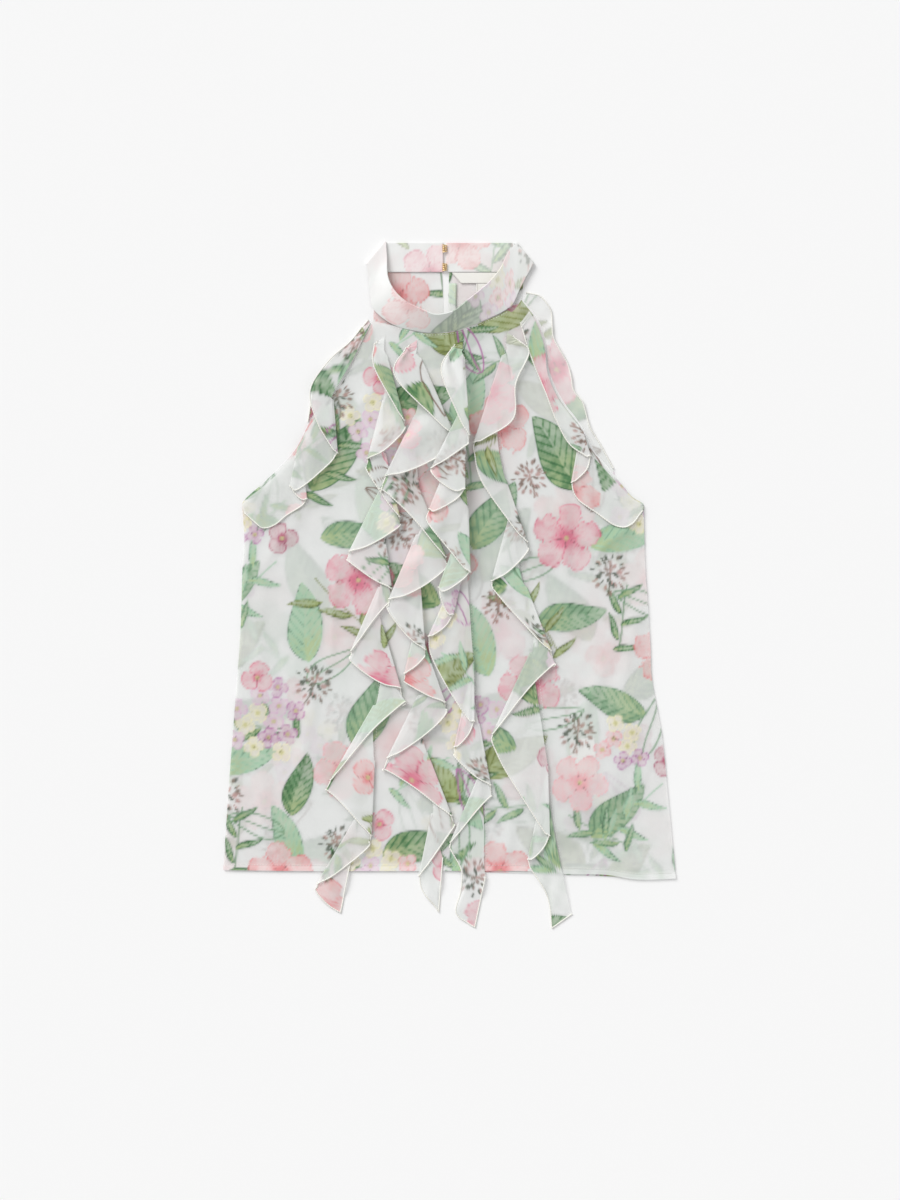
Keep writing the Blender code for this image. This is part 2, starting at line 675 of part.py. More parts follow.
def main():
    clear_scene()
    back_panel()
    front = front_panel()
    collar()
    slit_facing()
    labels()
    fastenings()
    ruffles(front)


main()
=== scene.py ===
# %% [markdown]
# # A chiffon top, laid flat
#
# This lesson dresses a sleeveless blouse: sheer printed chiffon, a stand collar, four cascade ruffles and
# frilled armholes, photographed from straight above. The solids of the frame give every piece its place.
# Each is replaced by a thin cloth of the same form, with finer folds, a printed pattern and its sewing.

# %% Load the frame
import math

import bpy
import numpy as np
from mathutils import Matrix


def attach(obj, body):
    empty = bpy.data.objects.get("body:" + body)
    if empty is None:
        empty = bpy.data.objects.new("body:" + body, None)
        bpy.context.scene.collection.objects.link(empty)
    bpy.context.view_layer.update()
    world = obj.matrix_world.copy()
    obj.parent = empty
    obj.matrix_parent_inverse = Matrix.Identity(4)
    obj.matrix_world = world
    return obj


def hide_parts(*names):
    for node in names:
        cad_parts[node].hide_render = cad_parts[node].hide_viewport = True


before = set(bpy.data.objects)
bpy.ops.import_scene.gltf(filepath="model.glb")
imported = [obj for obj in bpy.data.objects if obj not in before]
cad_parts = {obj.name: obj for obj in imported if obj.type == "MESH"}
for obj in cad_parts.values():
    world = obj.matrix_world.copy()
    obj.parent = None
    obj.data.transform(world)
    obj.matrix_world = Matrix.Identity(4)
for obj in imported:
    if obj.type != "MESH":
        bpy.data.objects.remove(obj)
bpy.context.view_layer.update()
MM = 0.001

# %% [markdown]
# ## Camera, floor and light
#
# The camera looks straight down, as in the photograph. One number ties the picture to the garment: how
# many metres the picture is high. A long lens far away keeps the view almost flat. The floor and the
# light are pale and soft: a bright sky and a wide, soft sun to one side, so that folds have a light and a
# dark side.

# %% Camera, floor and light
PICTURE_HIGH = 1.26
PICTURE_CENTRE_Y = -0.0147
CAMERA_HEIGHT = 2.6
SENSOR = 36.0
FLOOR_HALF = 6.0
FLOOR_Z = -0.0002
FLOOR_COLOUR = (0.95, 0.95, 0.95, 1.0)
FLOOR_ROUGHNESS = 0.95
SKY_STRENGTH = 0.59

eye = bpy.data.cameras.new("eye")
eye.sensor_width = SENSOR
eye.lens = SENSOR * CAMERA_HEIGHT / PICTURE_HIGH
camera = bpy.data.objects.new("eye", eye)
camera.location = (0, PICTURE_CENTRE_Y, CAMERA_HEIGHT)
bpy.context.scene.collection.objects.link(camera)
bpy.context.scene.camera = camera

floor_corners = [(x * FLOOR_HALF, y * FLOOR_HALF, FLOOR_Z) for x, y in ((-1, -1), (1, -1), (1, 1), (-1, 1))]
floor_mesh = bpy.data.meshes.new("floor")
floor_mesh.from_pydata(floor_corners, [], [(0, 1, 2, 3)])
floor = bpy.data.objects.new("floor", floor_mesh)
bpy.context.scene.collection.objects.link(floor)
paper = bpy.data.materials.new("paper")
paper.use_nodes = True
paper.node_tree.nodes["Principled BSDF"].inputs["Base Color"].default_value = FLOOR_COLOUR
paper.node_tree.nodes["Principled BSDF"].inputs["Roughness"].default_value = FLOOR_ROUGHNESS
floor_mesh.materials.append(paper)

world = bpy.data.worlds.new("sky")
world.use_nodes = True
world.node_tree.nodes["Background"].inputs["Color"].default_value = (1.0, 1.0, 1.0, 1.0)
world.node_tree.nodes["Background"].inputs["Strength"].default_value = SKY_STRENGTH
bpy.context.scene.world = world
bpy.context.scene.view_settings.view_transform = "Standard"


def sun(name, heading, height, strength, softness):
    """A soft, even light. heading and height are where it stands, in degrees."""
    light = bpy.data.lights.new(name, "SUN")
    light.energy = strength
    light.angle = math.radians(softness)
    thing = bpy.data.objects.new(name, light)
    thing.rotation_euler = (math.radians(90 - height), 0, math.radians(heading + 90))
    bpy.context.scene.collection.objects.link(thing)


sun("key", heading=128, height=36, strength=2.1, softness=34)
print("camera", round(eye.lens, 1), "mm lens at", CAMERA_HEIGHT, "m")

# %% [markdown]
# ## The cut of the garment
#
# These tables and rules are those of the solids, in millimetres, so that the cloth here follows their
# form. Only the collar's wall is thinner here. X runs to the right, Y to the neck and Z up from the
# surface.

# %% Sizes and outlines
CLOTH = 1.0
COLLAR_CLOTH = 1.6
SEAM_GAP = 0.3
LAYER_GAP = 0.3
FOLD_STEP = 1.45
FOLD_LOFT = 0.4
FOLD_BULGE = 0.9
SEAM_START = 0.08
EDGE_CREEP = 0.12
RUN_STEPS = 4
BEND_STEPS = 2
ACROSS_STEPS = 4
BRIDGE_PASSES = 2
CELL = 1.5
REACH = (280.0, 400.0)
SAMPLES = 16

LEFT_SIDE = [(-238, -298), (-232, -209), (-225, -117), (-220, -50), (-218, 13), (-216, 52), (-218, 81)]
LEFT_ARMHOLE = [(-81, 278), (-97, 244), (-106, 225), (-119, 205), (-131, 192), (-146, 174), (-161, 145),
                (-178, 125), (-195, 109), (-216, 90), (-218, 81)]
RIGHT_SIDE = [(237, -307), (230, -231), (222, -154), (212, -99), (210, -57), (205, 20), (203, 83)]
RIGHT_ARMHOLE = [(75, 300), (91, 278), (100, 251), (102, 226), (111, 203), (122, 186), (134, 171), (143, 156),
                 (150, 141), (164, 125), (183, 103), (192, 93), (202, 87), (203, 83)]
HEM = [(-238, -298), (-158, -299), (-52, -299), (74, -299), (121, -302), (163, -303), (197, -308),
       (237, -307)]
SLIT_X = -4.5
SLIT_TOP_WIDTH = 7.0
SLIT_END_WIDTH = 2.0
SLIT_LENGTH = 105.0
FACING_WIDTH = 8.0

# Collar band. Columns: bottom x, bottom y, top x, top y, rise of the top edge above the bottom edge
COLLAR_FRONT = [
    (-87, 337, -67, 361, 0), (-85, 318, -66, 345, 2), (-83, 303, -65, 324, 7), (-79, 289, -58, 309, 11),
    (-59, 274, -46, 297, 14), (-32, 267, -28, 288, 16), (-14, 266, -14, 283, 17), (5, 268, 4, 287, 16),
    (24, 274, 18, 298, 15), (38, 280, 29, 307, 13), (50, 285, 39, 316, 10), (59, 290, 47, 325, 8),
    (66, 296, 54, 335, 5), (75, 315, 61, 350, 2), (87, 337, 69, 359, 0),
]
COLLAR_BACK_Y = (329.5, 360.0)
COLLAR_BACK_ENDS = (-7.0, -3.9)
COLLAR_LIFT = 3.9
COLLAR_FOLD = 1.3
NECK_LIFT = 1.7
NECK_LIFT_REACH = 95.0

# %% [markdown]
# A cascade ruffle is a curved strip, sewn down along its seam and free along its edge, which falls in
# folds. A row of its table is one bend or fold of the free edge: the height of the seam where the cloth
# leaves it (none where the edge only bends), the place of the edge, its lift, and whether the cloth turns
# over there.

# %% Ruffles
CASCADES = {
    "cascade_ruffle_1": {
        "seam": [(-68, 262), (-70, 100), (-76, -130), (-85, -215), (-104, -285)],
        "edge": [(262, -76, 257, 0, False), (None, -82, 236, 0, False), (248, -47, 169, 0, True),
                 (200, -87, 129, 1, True), (145, -52, 68, 0, True), (108, -107, 32, 1, True),
                 (68, -61, -7, 0, True), (5, -105, -72, 1, True), (-35, -51, -111, 0, True),
                 (-118, -127, -207, 1, True), (-176, -83, -266, 0, True), (-222, -141, -316, 0, True),
                 (-280, -115, -343, 0, False)],
    },
    "cascade_ruffle_2": {
        "seam": [(-34, 258), (-33, 100), (-28, -150), (-14, -250), (-6, -285)],
        "edge": [(258, -42, 253, 0, False), (None, -59, 222, 0, False), (246, 6, 154, 1, True),
                 (185, -69, 111, 1, True), (103, -3, 26, 0, True), (60, -65, -18, 1, True),
                 (5, -26, -71, 0, True), (-20, -48, -96, 1, True), (-50, -4, -126, 0, True),
                 (-108, -67, -184, 1, True), (-168, 3, -245, 0, True), (-232, -33, -308, 0, True),
                 (-280, -12, -342, 0, False)],
    },
    "cascade_ruffle_3": {
        "seam": [(14, 258), (18, 100), (26, -100), (36, -200), (38, -276), (38, -330)],
        "edge": [(258, 5, 253, 0, False), (None, -9, 223, 1, False), (247, 20, 153, 0, True),
                 (192, -21, 119, 0, True), (172, 15, 97, 0, True), (172, -23, 76, 1, True),
                 (88, 21, 10, 0, True), (82, -13, -6, 1, True), (42, 2, -34, 0, True),
                 (42, -24, -57, 1, True), (-72, 25, -146, 0, True), (-80, 4, -173, 1, True),
                 (-138, 43, -213, 0, True), (-188, -1, -273, 0, True), (None, 14, -306, 0, False),
                 (None, 6, -342, 0, False), (-300, 26, -358, 0, False)],
    },
    "cascade_ruffle_4": {
        "seam": [(59, 266), (52, 150), (74, 27), (95, -110), (108, -240), (124, -319), (130, -345)],
        "edge": [(266, 66, 262, 0, False), (None, 83, 243, 0, False), (None, 66, 204, 1, False),
                 (None, 72, 181, 1, False), (250, 24, 146, 1, True), (None, 36, 104, 1, False),
                 (118, 82, 42, 0, True), (78, 43, 1, 1, True), (None, 54, -14, 0, False),
                 (5, 107, -72, 0, True), (-62, 43, -159, 1, True), (None, 54, -186, 1, False),
                 (-180, 104, -266, 0, True), (-190, 81, -291, 0, True), (None, 102, -325, 0, False),
                 (-343, 107, -359, 0, False)],
    },
}
LAYING = ["armhole_ruffle_back_left", "armhole_ruffle_back_right", "front_panel",
          "armhole_ruffle_front_left", "armhole_ruffle_front_right", "cascade_ruffle_1",
          "cascade_ruffle_2", "cascade_ruffle_3", "cascade_ruffle_4"]

# Armhole frills: the same, with the distance along the armhole in place of the seam's height
ARMHOLE_FRILLS = {
    "armhole_ruffle_front_left": {
        "side": "left", "out": 0.0,
        "edge": [(2, -93, 271, 0, False), (None, -106, 255, 0, False), (None, -125, 239, 0, False),
                 (88, -147, 203, 0, False), (None, -142, 178, 0, False), (89, -118, 135, 0, True),
                 (150, -168, 100, 0, True), (150, -150, 87, 0, True), (None, -173, 73, 0, False),
                 (None, -193, 60, 0, False), (240, -216, 77, 0, False)],
    },
    "armhole_ruffle_front_right": {
        "side": "right", "out": 0.0,
        "edge": [(14, 74, 276, 0, False), (None, 84, 243, 0, False), (None, 100, 203, 0, False),
                 (125, 121, 154, 0, False), (152, 148, 132, 0, True), (152, 127, 104, 0, True),
                 (None, 135, 90, 0, False), (None, 155, 76, 0, False), (None, 172, 64, 0, False),
                 (None, 188, 63, 0, False), (257, 202, 79, 0, False)],
    },
    "armhole_ruffle_back_left": {
        "side": "left", "out": 0.6,
        "edge": [(4, -86, 279, 0, False), (None, -104, 257, 0, False), (None, -122, 240, 0, False),
                 (None, -139, 218, 0, False), (None, -144, 203, 0, False), (126, -149, 173, 0, False)],
    },
    "armhole_ruffle_back_right": {
        "side": "right", "out": 0.6,
        "edge": [(2, 80, 308, 0, False), (None, 96, 303, 2, False), (None, 107, 285, 0, False),
                 (None, 108, 262, 2, False), (None, 126, 228, 0, False), (None, 127, 210, 2, False),
                 (None, 142, 188, 0, False), (None, 144, 172, 2, False), (None, 158, 148, 0, False),
                 (214, 171, 124, 1, False)],
    },
}
# Columns: x, y of the middle, width, length, turn in degrees, slant of the left end
LABELS = {
    "neck_label": (25.4, 323.3, 47.2, 11.0, 0.0, 9.6),
    "size_label": (34.5, 310.8, 14.0, 13.0, 0.0, 0.0),
    "care_label": (140.0, -182.0, 26.0, 44.0, 4.0, 0.0),
}
CARE_BUMP = 1.6
CARE_BUMP_REACH = 42.0
print(len(CASCADES), "cascades,", len(ARMHOLE_FRILLS), "armhole frills")

# %% [markdown]
# ## Curves and grids
#
# A cloth is a grid of points: rows along one way, columns along the other. A few small functions make
# smooth curves through the rows of a table, spread points along them and fill a grid between four edges.

# %% Curves and grids
def ramp(value, start, end):
    """0 before start, 1 after end and a soft slope between them."""
    t = np.clip((np.asarray(value, float) - start) / (end - start), 0.0, 1.0)
    return t * t * (3.0 - 2.0 * t)


def cubic(a, b, c, d, t):
    """The smooth curve from b to c, with a and d as its neighbours."""
    return 0.5 * (2 * b + (c - a) * t + (2 * a - 5 * b + 4 * c - d) * t**2 + (3 * b - a - 3 * c + d) * t**3)


def smooth_path(rows, steps=12):
    """A smooth curve through the rows, as many close points."""
    p = np.array(rows, float)
    ends = np.vstack([2 * p[0] - p[1], p, 2 * p[-1] - p[-2]])
    spans = range(1, len(ends) - 2)
    out = [cubic(*ends[i - 1 : i + 3], t) for i in spans for t in np.arange(steps) / steps]
    return np.array(out + [p[-1]])


def lengths(path):
    """The distance along a path at each of its points."""
    return np.concatenate([[0.0], np.cumsum(np.linalg.norm(np.diff(path[:, :2], axis=0), axis=1))])


def at_distance(path, distance):
    along = lengths(path)
    return np.stack([np.interp(distance, along, path[:, k]) for k in range(path.shape[1])], axis=-1)


def at_fraction(path, fraction):
    return at_distance(path, np.asarray(fraction) * lengths(path)[-1])


def finer(grid, count):
    """The grid with a new number of rows, smooth along its columns."""
    p = np.concatenate([[2 * grid[0] - grid[1]], grid, [2 * grid[-1] - grid[-2]]])
    place = np.linspace(0, len(grid) - 1, count)
    i = np.minimum(place.astype(int), len(grid) - 2)
    t = (place - i)[:, None, None]
    return cubic(p[i], p[i + 1], p[i + 2], p[i + 3], t)


def grid_faces(rows, columns):
    i, j = np.meshgrid(np.arange(rows - 1), np.arange(columns - 1), indexing="ij")
    a = (i * columns + j).ravel()
    return np.column_stack([a, a + 1, a + columns + 1, a + columns])


def triangles(points, faces):
    """Each four-sided face as two triangles, split along its shorter diagonal."""
    a, b, c, d = faces.T
    first = np.linalg.norm(points[a] - points[c], axis=1) < np.linalg.norm(points[b] - points[d], axis=1)
    one = np.where(first[:, None], np.column_stack([a, b, c]), np.column_stack([a, b, d]))
    two = np.where(first[:, None], np.column_stack([a, c, d]), np.column_stack([b, c, d]))
    return np.vstack([one, two])


def patch(left, right, bottom, top):
    """A grid between four edges: each row runs from left to right."""
    rows, columns = len(left), len(bottom)
    u = np.linspace(0, 1, columns)[None, :, None]
    w = np.linspace(0, 1, rows)[:, None, None]
    across = (1 - u) * left[:, None] + u * right[:, None]
    along = (1 - w) * bottom[None] + w * top[None]
    corners = ((1 - u) * ((1 - w) * left[0] + w * left[-1]) + u * ((1 - w) * right[0] + w * right[-1]))
    return across + along - corners


def hem_y(x):
    hem = np.array(HEM, float)
    return np.interp(x, hem[:, 0], hem[:, 1])


print("curve and grid helpers ready")

# %% [markdown]
# ## The chart of the print
#
# Chiffon like this carries a loose watercolour floral. The print here is a general one of ordinary
# motifs, in a layout of its own: round-petalled blossoms, clusters of small florets, veined leaves,
# sprigs, seed heads and soft washes. A printer repeats one block over the whole cloth, and the block is a
# short table: where each motif lies, how it is turned, its size and its tint. Each column of blocks is
# dropped by half a block, so the eye finds no rows.

# %% The chart of the print
REPEAT = np.array([404.0, 468.0])
TINTS = {
    "rose": (0.74, 0.16, 0.26), "coral": (0.80, 0.24, 0.25), "blush": (0.85, 0.40, 0.43),
    "wine": (0.45, 0.05, 0.14), "mauve": (0.50, 0.18, 0.42), "cream": (0.85, 0.80, 0.50),
    "lilac": (0.72, 0.46, 0.65), "fern": (0.10, 0.24, 0.10), "sage": (0.22, 0.38, 0.23),
    "mint": (0.38, 0.59, 0.42), "olive": (0.24, 0.28, 0.09), "seed": (0.06, 0.09, 0.05),
    "husk": (0.22, 0.13, 0.09),
}
# Columns: x, y, turn in degrees, half length, half width as a share of it, tint
BIG_LEAVES = [
    (46, 74, 62, 42, 0.44, "sage"), (112, 140, 128, 46, 0.46, "fern"), (186, 52, 20, 40, 0.38, "mint"),
    (322, 104, 75, 44, 0.46, "sage"), (362, 236, 150, 38, 0.42, "fern"), (252, 196, 100, 42, 0.44, "mint"),
    (66, 290, 35, 42, 0.44, "olive"), (170, 346, 165, 38, 0.40, "sage"), (284, 372, 60, 46, 0.46, "fern"),
    (30, 412, 110, 40, 0.42, "mint"), (128, 436, 15, 38, 0.40, "sage"), (372, 430, 20, 40, 0.42, "fern"),
    (20, 196, 80, 38, 0.42, "mint"), (176, 232, 50, 40, 0.42, "sage"), (390, 34, 140, 36, 0.42, "olive"),
    (232, 440, 120, 36, 0.40, "mint"), (304, 288, 10, 36, 0.40, "sage"), (246, 26, 80, 34, 0.42, "fern"),
]
# Columns: x, y, turn in degrees, radius, petals, tint
BLOSSOMS = [
    (122, 50, 10, 38, 5, "rose"), (292, 42, 48, 34, 5, "blush"), (52, 168, 30, 35, 5, "coral"),
    (308, 240, 5, 39, 5, "rose"), (136, 262, 60, 32, 5, "blush"), (226, 400, 22, 36, 5, "coral"),
    (378, 168, 0, 19, 3, "wine"), (202, 138, 80, 18, 3, "rose"), (84, 364, 40, 36, 5, "rose"),
    (366, 338, 12, 33, 5, "blush"), (228, 284, 0, 18, 3, "wine"), (10, 20, 25, 20, 3, "coral"),
    (330, 452, 50, 18, 3, "rose"),
]
# Leaves drawn in line only, in the same columns as the big leaves
LINE_LEAVES = [
    (90, 20, 30, 30, 0.36, "sage"), (150, 110, 100, 34, 0.36, "husk"), (280, 150, 40, 32, 0.34, "sage"),
    (20, 250, 120, 30, 0.36, "mauve"), (210, 320, 80, 34, 0.36, "sage"), (340, 320, 150, 30, 0.34, "husk"),
    (110, 330, 20, 32, 0.36, "sage"), (396, 110, 60, 30, 0.36, "mauve"), (200, 452, 170, 32, 0.34, "sage"),
]
# Columns: x, y, spread, number of florets, tints in turn
CLUSTERS = [(212, 92, 40, 13, ("lilac", "cream", "mauve")), (330, 400, 36, 11, ("cream", "lilac", "blush")),
            (20, 328, 32, 9, ("mauve", "cream", "lilac")), (180, 300, 26, 7, ("cream", "blush", "mauve"))]
# Columns: x, y, turn, number of leaves, half length of a leaf, tint
SPRAYS = [(16, 100, 70, 6, 18, "sage"), (246, 76, 150, 5, 17, "fern"), (150, 196, 20, 6, 18, "mint"),
          (330, 166, 110, 6, 19, "olive"), (6, 240, 50, 5, 17, "fern"), (186, 190, 130, 5, 16, "sage"),
          (250, 330, 30, 6, 18, "fern"), (110, 392, 95, 6, 17, "olive"), (340, 20, 10, 5, 16, "mint"),
          (90, 232, 160, 5, 17, "sage"), (392, 290, 70, 6, 17, "olive"), (172, 400, 60, 5, 16, "fern")]
# Columns: x, y, turn, radius, tint
SEED_HEADS = [(168, 14, 80, 19, "seed"), (84, 114, 100, 17, "husk"), (262, 132, 60, 19, "seed"),
              (350, 290, 120, 17, "husk"), (134, 316, 75, 19, "seed"), (286, 432, 95, 17, "seed"),
              (52, 450, 70, 17, "husk"), (394, 380, 85, 18, "seed")]
# Columns: x, y, radius, tint
WASHES = [(76, 36, 85, "mint"), (240, 160, 95, "mint"), (354, 76, 75, "blush"), (140, 190, 85, "sage"),
          (50, 310, 95, "mint"), (254, 374, 90, "mint"), (366, 360, 75, "sage"), (152, 410, 70, "blush"),
          (330, 210, 80, "blush"), (20, 120, 70, "blush")]
GOLDEN_TURN = math.radians(137.5)
EDGE_SOFT = 1.0
FLECKS = 44
GRAIN_SEED = 7
GRAIN_SIDE = 64
grain_table = np.random.default_rng(GRAIN_SEED).random((GRAIN_SIDE, GRAIN_SIDE))


def grain(at, size):
    """Smooth random values between 0 and 1; size is the width of a spot in millimetres."""
    place = at / size
    low = np.floor(place).astype(int)
    t = place - low
    t = t * t * (3 - 2 * t)
    i, j = low[..., 0] % GRAIN_SIDE, low[..., 1] % GRAIN_SIDE
    i2, j2 = (i + 1) % GRAIN_SIDE, (j + 1) % GRAIN_SIDE
    bottom = grain_table[i, j] * (1 - t[..., 0]) + grain_table[i2, j] * t[..., 0]
    top = grain_table[i, j2] * (1 - t[..., 0]) + grain_table[i2, j2] * t[..., 0]
    return bottom * (1 - t[..., 1]) + top * t[..., 1]


print("chart:", len(BIG_LEAVES), "leaves,", len(BLOSSOMS), "blossoms, block", REPEAT.tolist(), "mm")

# %% [markdown]
# ## Motifs as formulas
#
# Each motif turns a place near it into a depth of colour and a mask. Depth 0 is thin paint, 1 is full
# paint and more is darker. Watercolour dries with a dark rim and pools at the base of a petal, so depth
# rises there.

# %% Motifs
OUTSIDE = -9.0
OUTLINE_HALF = 1.1
MIDRIB_HALF = 1.0
STALK_HALF = 0.9
MOTTLE = 0.8
BLOSSOM_PAINT = {"thin": 0.03, "heart": 1.10, "split": 0.95, "rim": 0.85, "rays": 0.6, "tip": 0.40}
LEAF_PAINT = {"thin": 0.02, "half": 0.40, "veins": 0.75, "rim": 0.95, "mottle": 1.6, "rib": 0.5}
SPRAY_BEND = 6
SPRAY_LEAN = 48


def blossom(along, across, size, petals, noise):
    turn = np.arctan2(across, along) + (noise - 0.5) * 0.5
    away = np.hypot(along, across) / size
    swing = np.abs(np.cos(turn * petals / 2))
    inside = (0.50 + 0.46 * swing**0.5 + 0.10 * (noise - 0.5) - away) * size
    split = 1 - ramp(swing, 0.02, 0.26)
    heart = 1 - ramp(away, 0.05, 0.50)
    rim = 1 - ramp(inside, 0.3, 2.2)
    rays = (1 - ramp(np.abs(np.sin(turn * petals * 3.0)), 0.0, 0.5)) * ramp(away, 0.10, 0.25) * (1 - away)
    tip = ramp(away, 0.45, 0.95) * ramp(np.sin(turn * petals / 2 + 0.6), -0.2, 0.9)
    ink = BLOSSOM_PAINT
    depth = ink["thin"] + ink["heart"] * heart + ink["split"] * split * (1 - 0.6 * away) + ink["rim"] * rim
    depth = depth + ink["rays"] * rays + ink["tip"] * tip
    return depth + MOTTLE * (noise - 0.5), inside, away


def leaf(along, across, size, share, noise):
    u = along / size
    side = across / size + 0.09 * np.sin(2.2 * u)
    far = np.abs(side)
    width = np.maximum(1 - u * u, 0.0) ** 0.75 * (1 - 0.35 * u) * share
    inside = np.where(np.abs(u) < 1, (width - far) * size, OUTSIDE)
    veins = 1 - ramp(np.abs((u * 4.0 - far * 5.0) % 1.0 - 0.5), 0.05, 0.22)
    rib = 1 - ramp(far * size, 0.5, 1.6)
    half = ramp(side, -0.03, 0.05)
    rim = 1 - ramp(inside, 0.4, 2.4)
    ink = LEAF_PAINT
    depth = ink["thin"] + ink["half"] * half + ink["veins"] * veins + ink["rim"] * rim
    depth = depth + ink["mottle"] * (noise - 0.40) - ink["rib"] * rib
    midrib = np.where(inside > 0, MIDRIB_HALF - far * size, OUTSIDE)
    drawn = np.maximum(OUTLINE_HALF - np.abs(inside), midrib)
    return depth, inside, drawn


def seed_head(along, across, size, noise):
    """A head of small flecks that point outwards, on a thin stalk."""
    bent = across - 0.10 * size * np.sin(along / size * 2.0)
    inside = np.where((along < 0) & (along > -1.3 * size), STALK_HALF - np.abs(bent), OUTSIDE)
    depth = np.full(along.shape, 0.7)
    for k in range(FLECKS):
        heading = GOLDEN_TURN * k + 0.7 * math.sin(3.1 * k)
        radius = size * math.sqrt((k + 0.5) / FLECKS) * (1 + 0.14 * math.sin(5.3 * k))
        c, s = math.cos(heading), math.sin(heading)
        out = (c * along + s * across - radius) / (size * 0.16)
        side = (c * across - s * along) / (size * (0.075 + 0.03 * math.sin(2.7 * k)))
        fleck = size * 0.10 * (1.0 - np.hypot(out, side))
        nearer = fleck > inside
        inside = np.where(nearer, fleck, inside)
        depth = np.where(nearer, (7 * k % 5) * 0.36, depth)
    return depth + MOTTLE * (noise - 0.5), inside


def stem(along, across, size):
    """A thin line along the motif, a little bent."""
    bend = across - 0.12 * size * np.sin(along / size * 1.6)
    return np.where(np.abs(along) < size, OUTLINE_HALF - np.abs(bend), OUTSIDE)


def spray_leaves():
    rows = []
    for x, y, turn, count, half, tint in SPRAYS:
        for k in range(count):
            heading = math.radians(turn + SPRAY_BEND * k)
            root = np.array([x, y]) + half * 0.85 * k * np.array([math.cos(heading), math.sin(heading)])
            lean = heading + math.radians(SPRAY_LEAN) * (1 if k % 2 else -1)
            middle = root + half * 0.9 * np.array([math.cos(lean), math.sin(lean)])
            rows.append((middle[0], middle[1], math.degrees(lean), half, 0.24, tint))
    return rows


def florets():
    rows = []
    for x, y, spread, count, tints in CLUSTERS:
        size = 1.05 * spread / math.sqrt(count)
        for k in range(count):
            away = spread * math.sqrt((k + 0.4) / count)
            place = (x + away * math.cos(GOLDEN_TURN * k), y + away * math.sin(GOLDEN_TURN * k))
            rows.append((*place, 40 * k, size, 4, tints[k % len(tints)]))
    return rows


print(len(spray_leaves()), "sprig leaves,", len(florets()), "florets")

# %% [markdown]
# ## Painting
#
# The painter walks through the chart and lays each motif over the ones before it, at every point of the
# cloth that it reaches. It returns the colour of each point and how much paint lies there.

# %% The painter
GROUND = np.array([0.945, 0.956, 0.945])
PALE = np.array([0.95, 0.90, 0.88])
PALE_GREEN = np.array([0.72, 0.84, 0.66])
YOUNG_GREEN = np.array([0.58, 0.70, 0.34])
DARK_GREEN = np.array([0.02, 0.06, 0.03])
PISTIL = np.array([0.62, 0.60, 0.30])
HUSK_PINK = np.array([0.55, 0.32, 0.29])
WASH_COVER = 0.36
STEM_COVER = 0.8
LINE_COVER = 0.9
PETAL_COVER = 0.92
PIP_COVER = 0.8
SEED_COVER = 0.9
MOTIF_REACH = 1.45


def near(at, x, y, turn, size):
    """The points that a motif reaches, and their places along and across it."""
    offset = at - (x, y)
    column = np.round(offset[:, 0] / REPEAT[0])
    offset[:, 0] -= column * REPEAT[0]
    offset[:, 1] = (offset[:, 1] - column * REPEAT[1] / 2 + REPEAT[1] / 2) % REPEAT[1] - REPEAT[1] / 2
    chosen = np.nonzero(np.abs(offset).max(axis=1) < size * MOTIF_REACH)[0]
    c, s = math.cos(math.radians(turn)), math.sin(math.radians(turn))
    dx, dy = offset[chosen, 0], offset[chosen, 1]
    return chosen, c * dx + s * dy, c * dy - s * dx


def lay_paint(colour, paint, chosen, mask, thin, full, dark, depth):
    """Lays thin, full or dark ink on the chosen points, by its depth, where the mask lets it through."""
    first = np.clip(depth, 0, 1)[:, None]
    over = np.clip(depth - 1, 0, 1)[:, None]
    ink = thin + (full - thin) * first
    ink = ink + (dark - ink) * over
    mask = mask[:, None]
    colour[chosen] = colour[chosen] * (1 - mask) + ink * mask
    amount = 0.35 + 0.5 * np.clip(depth, 0, 1.3)
    paint[chosen] = paint[chosen] * (1 - mask[:, 0]) + mask[:, 0] * amount


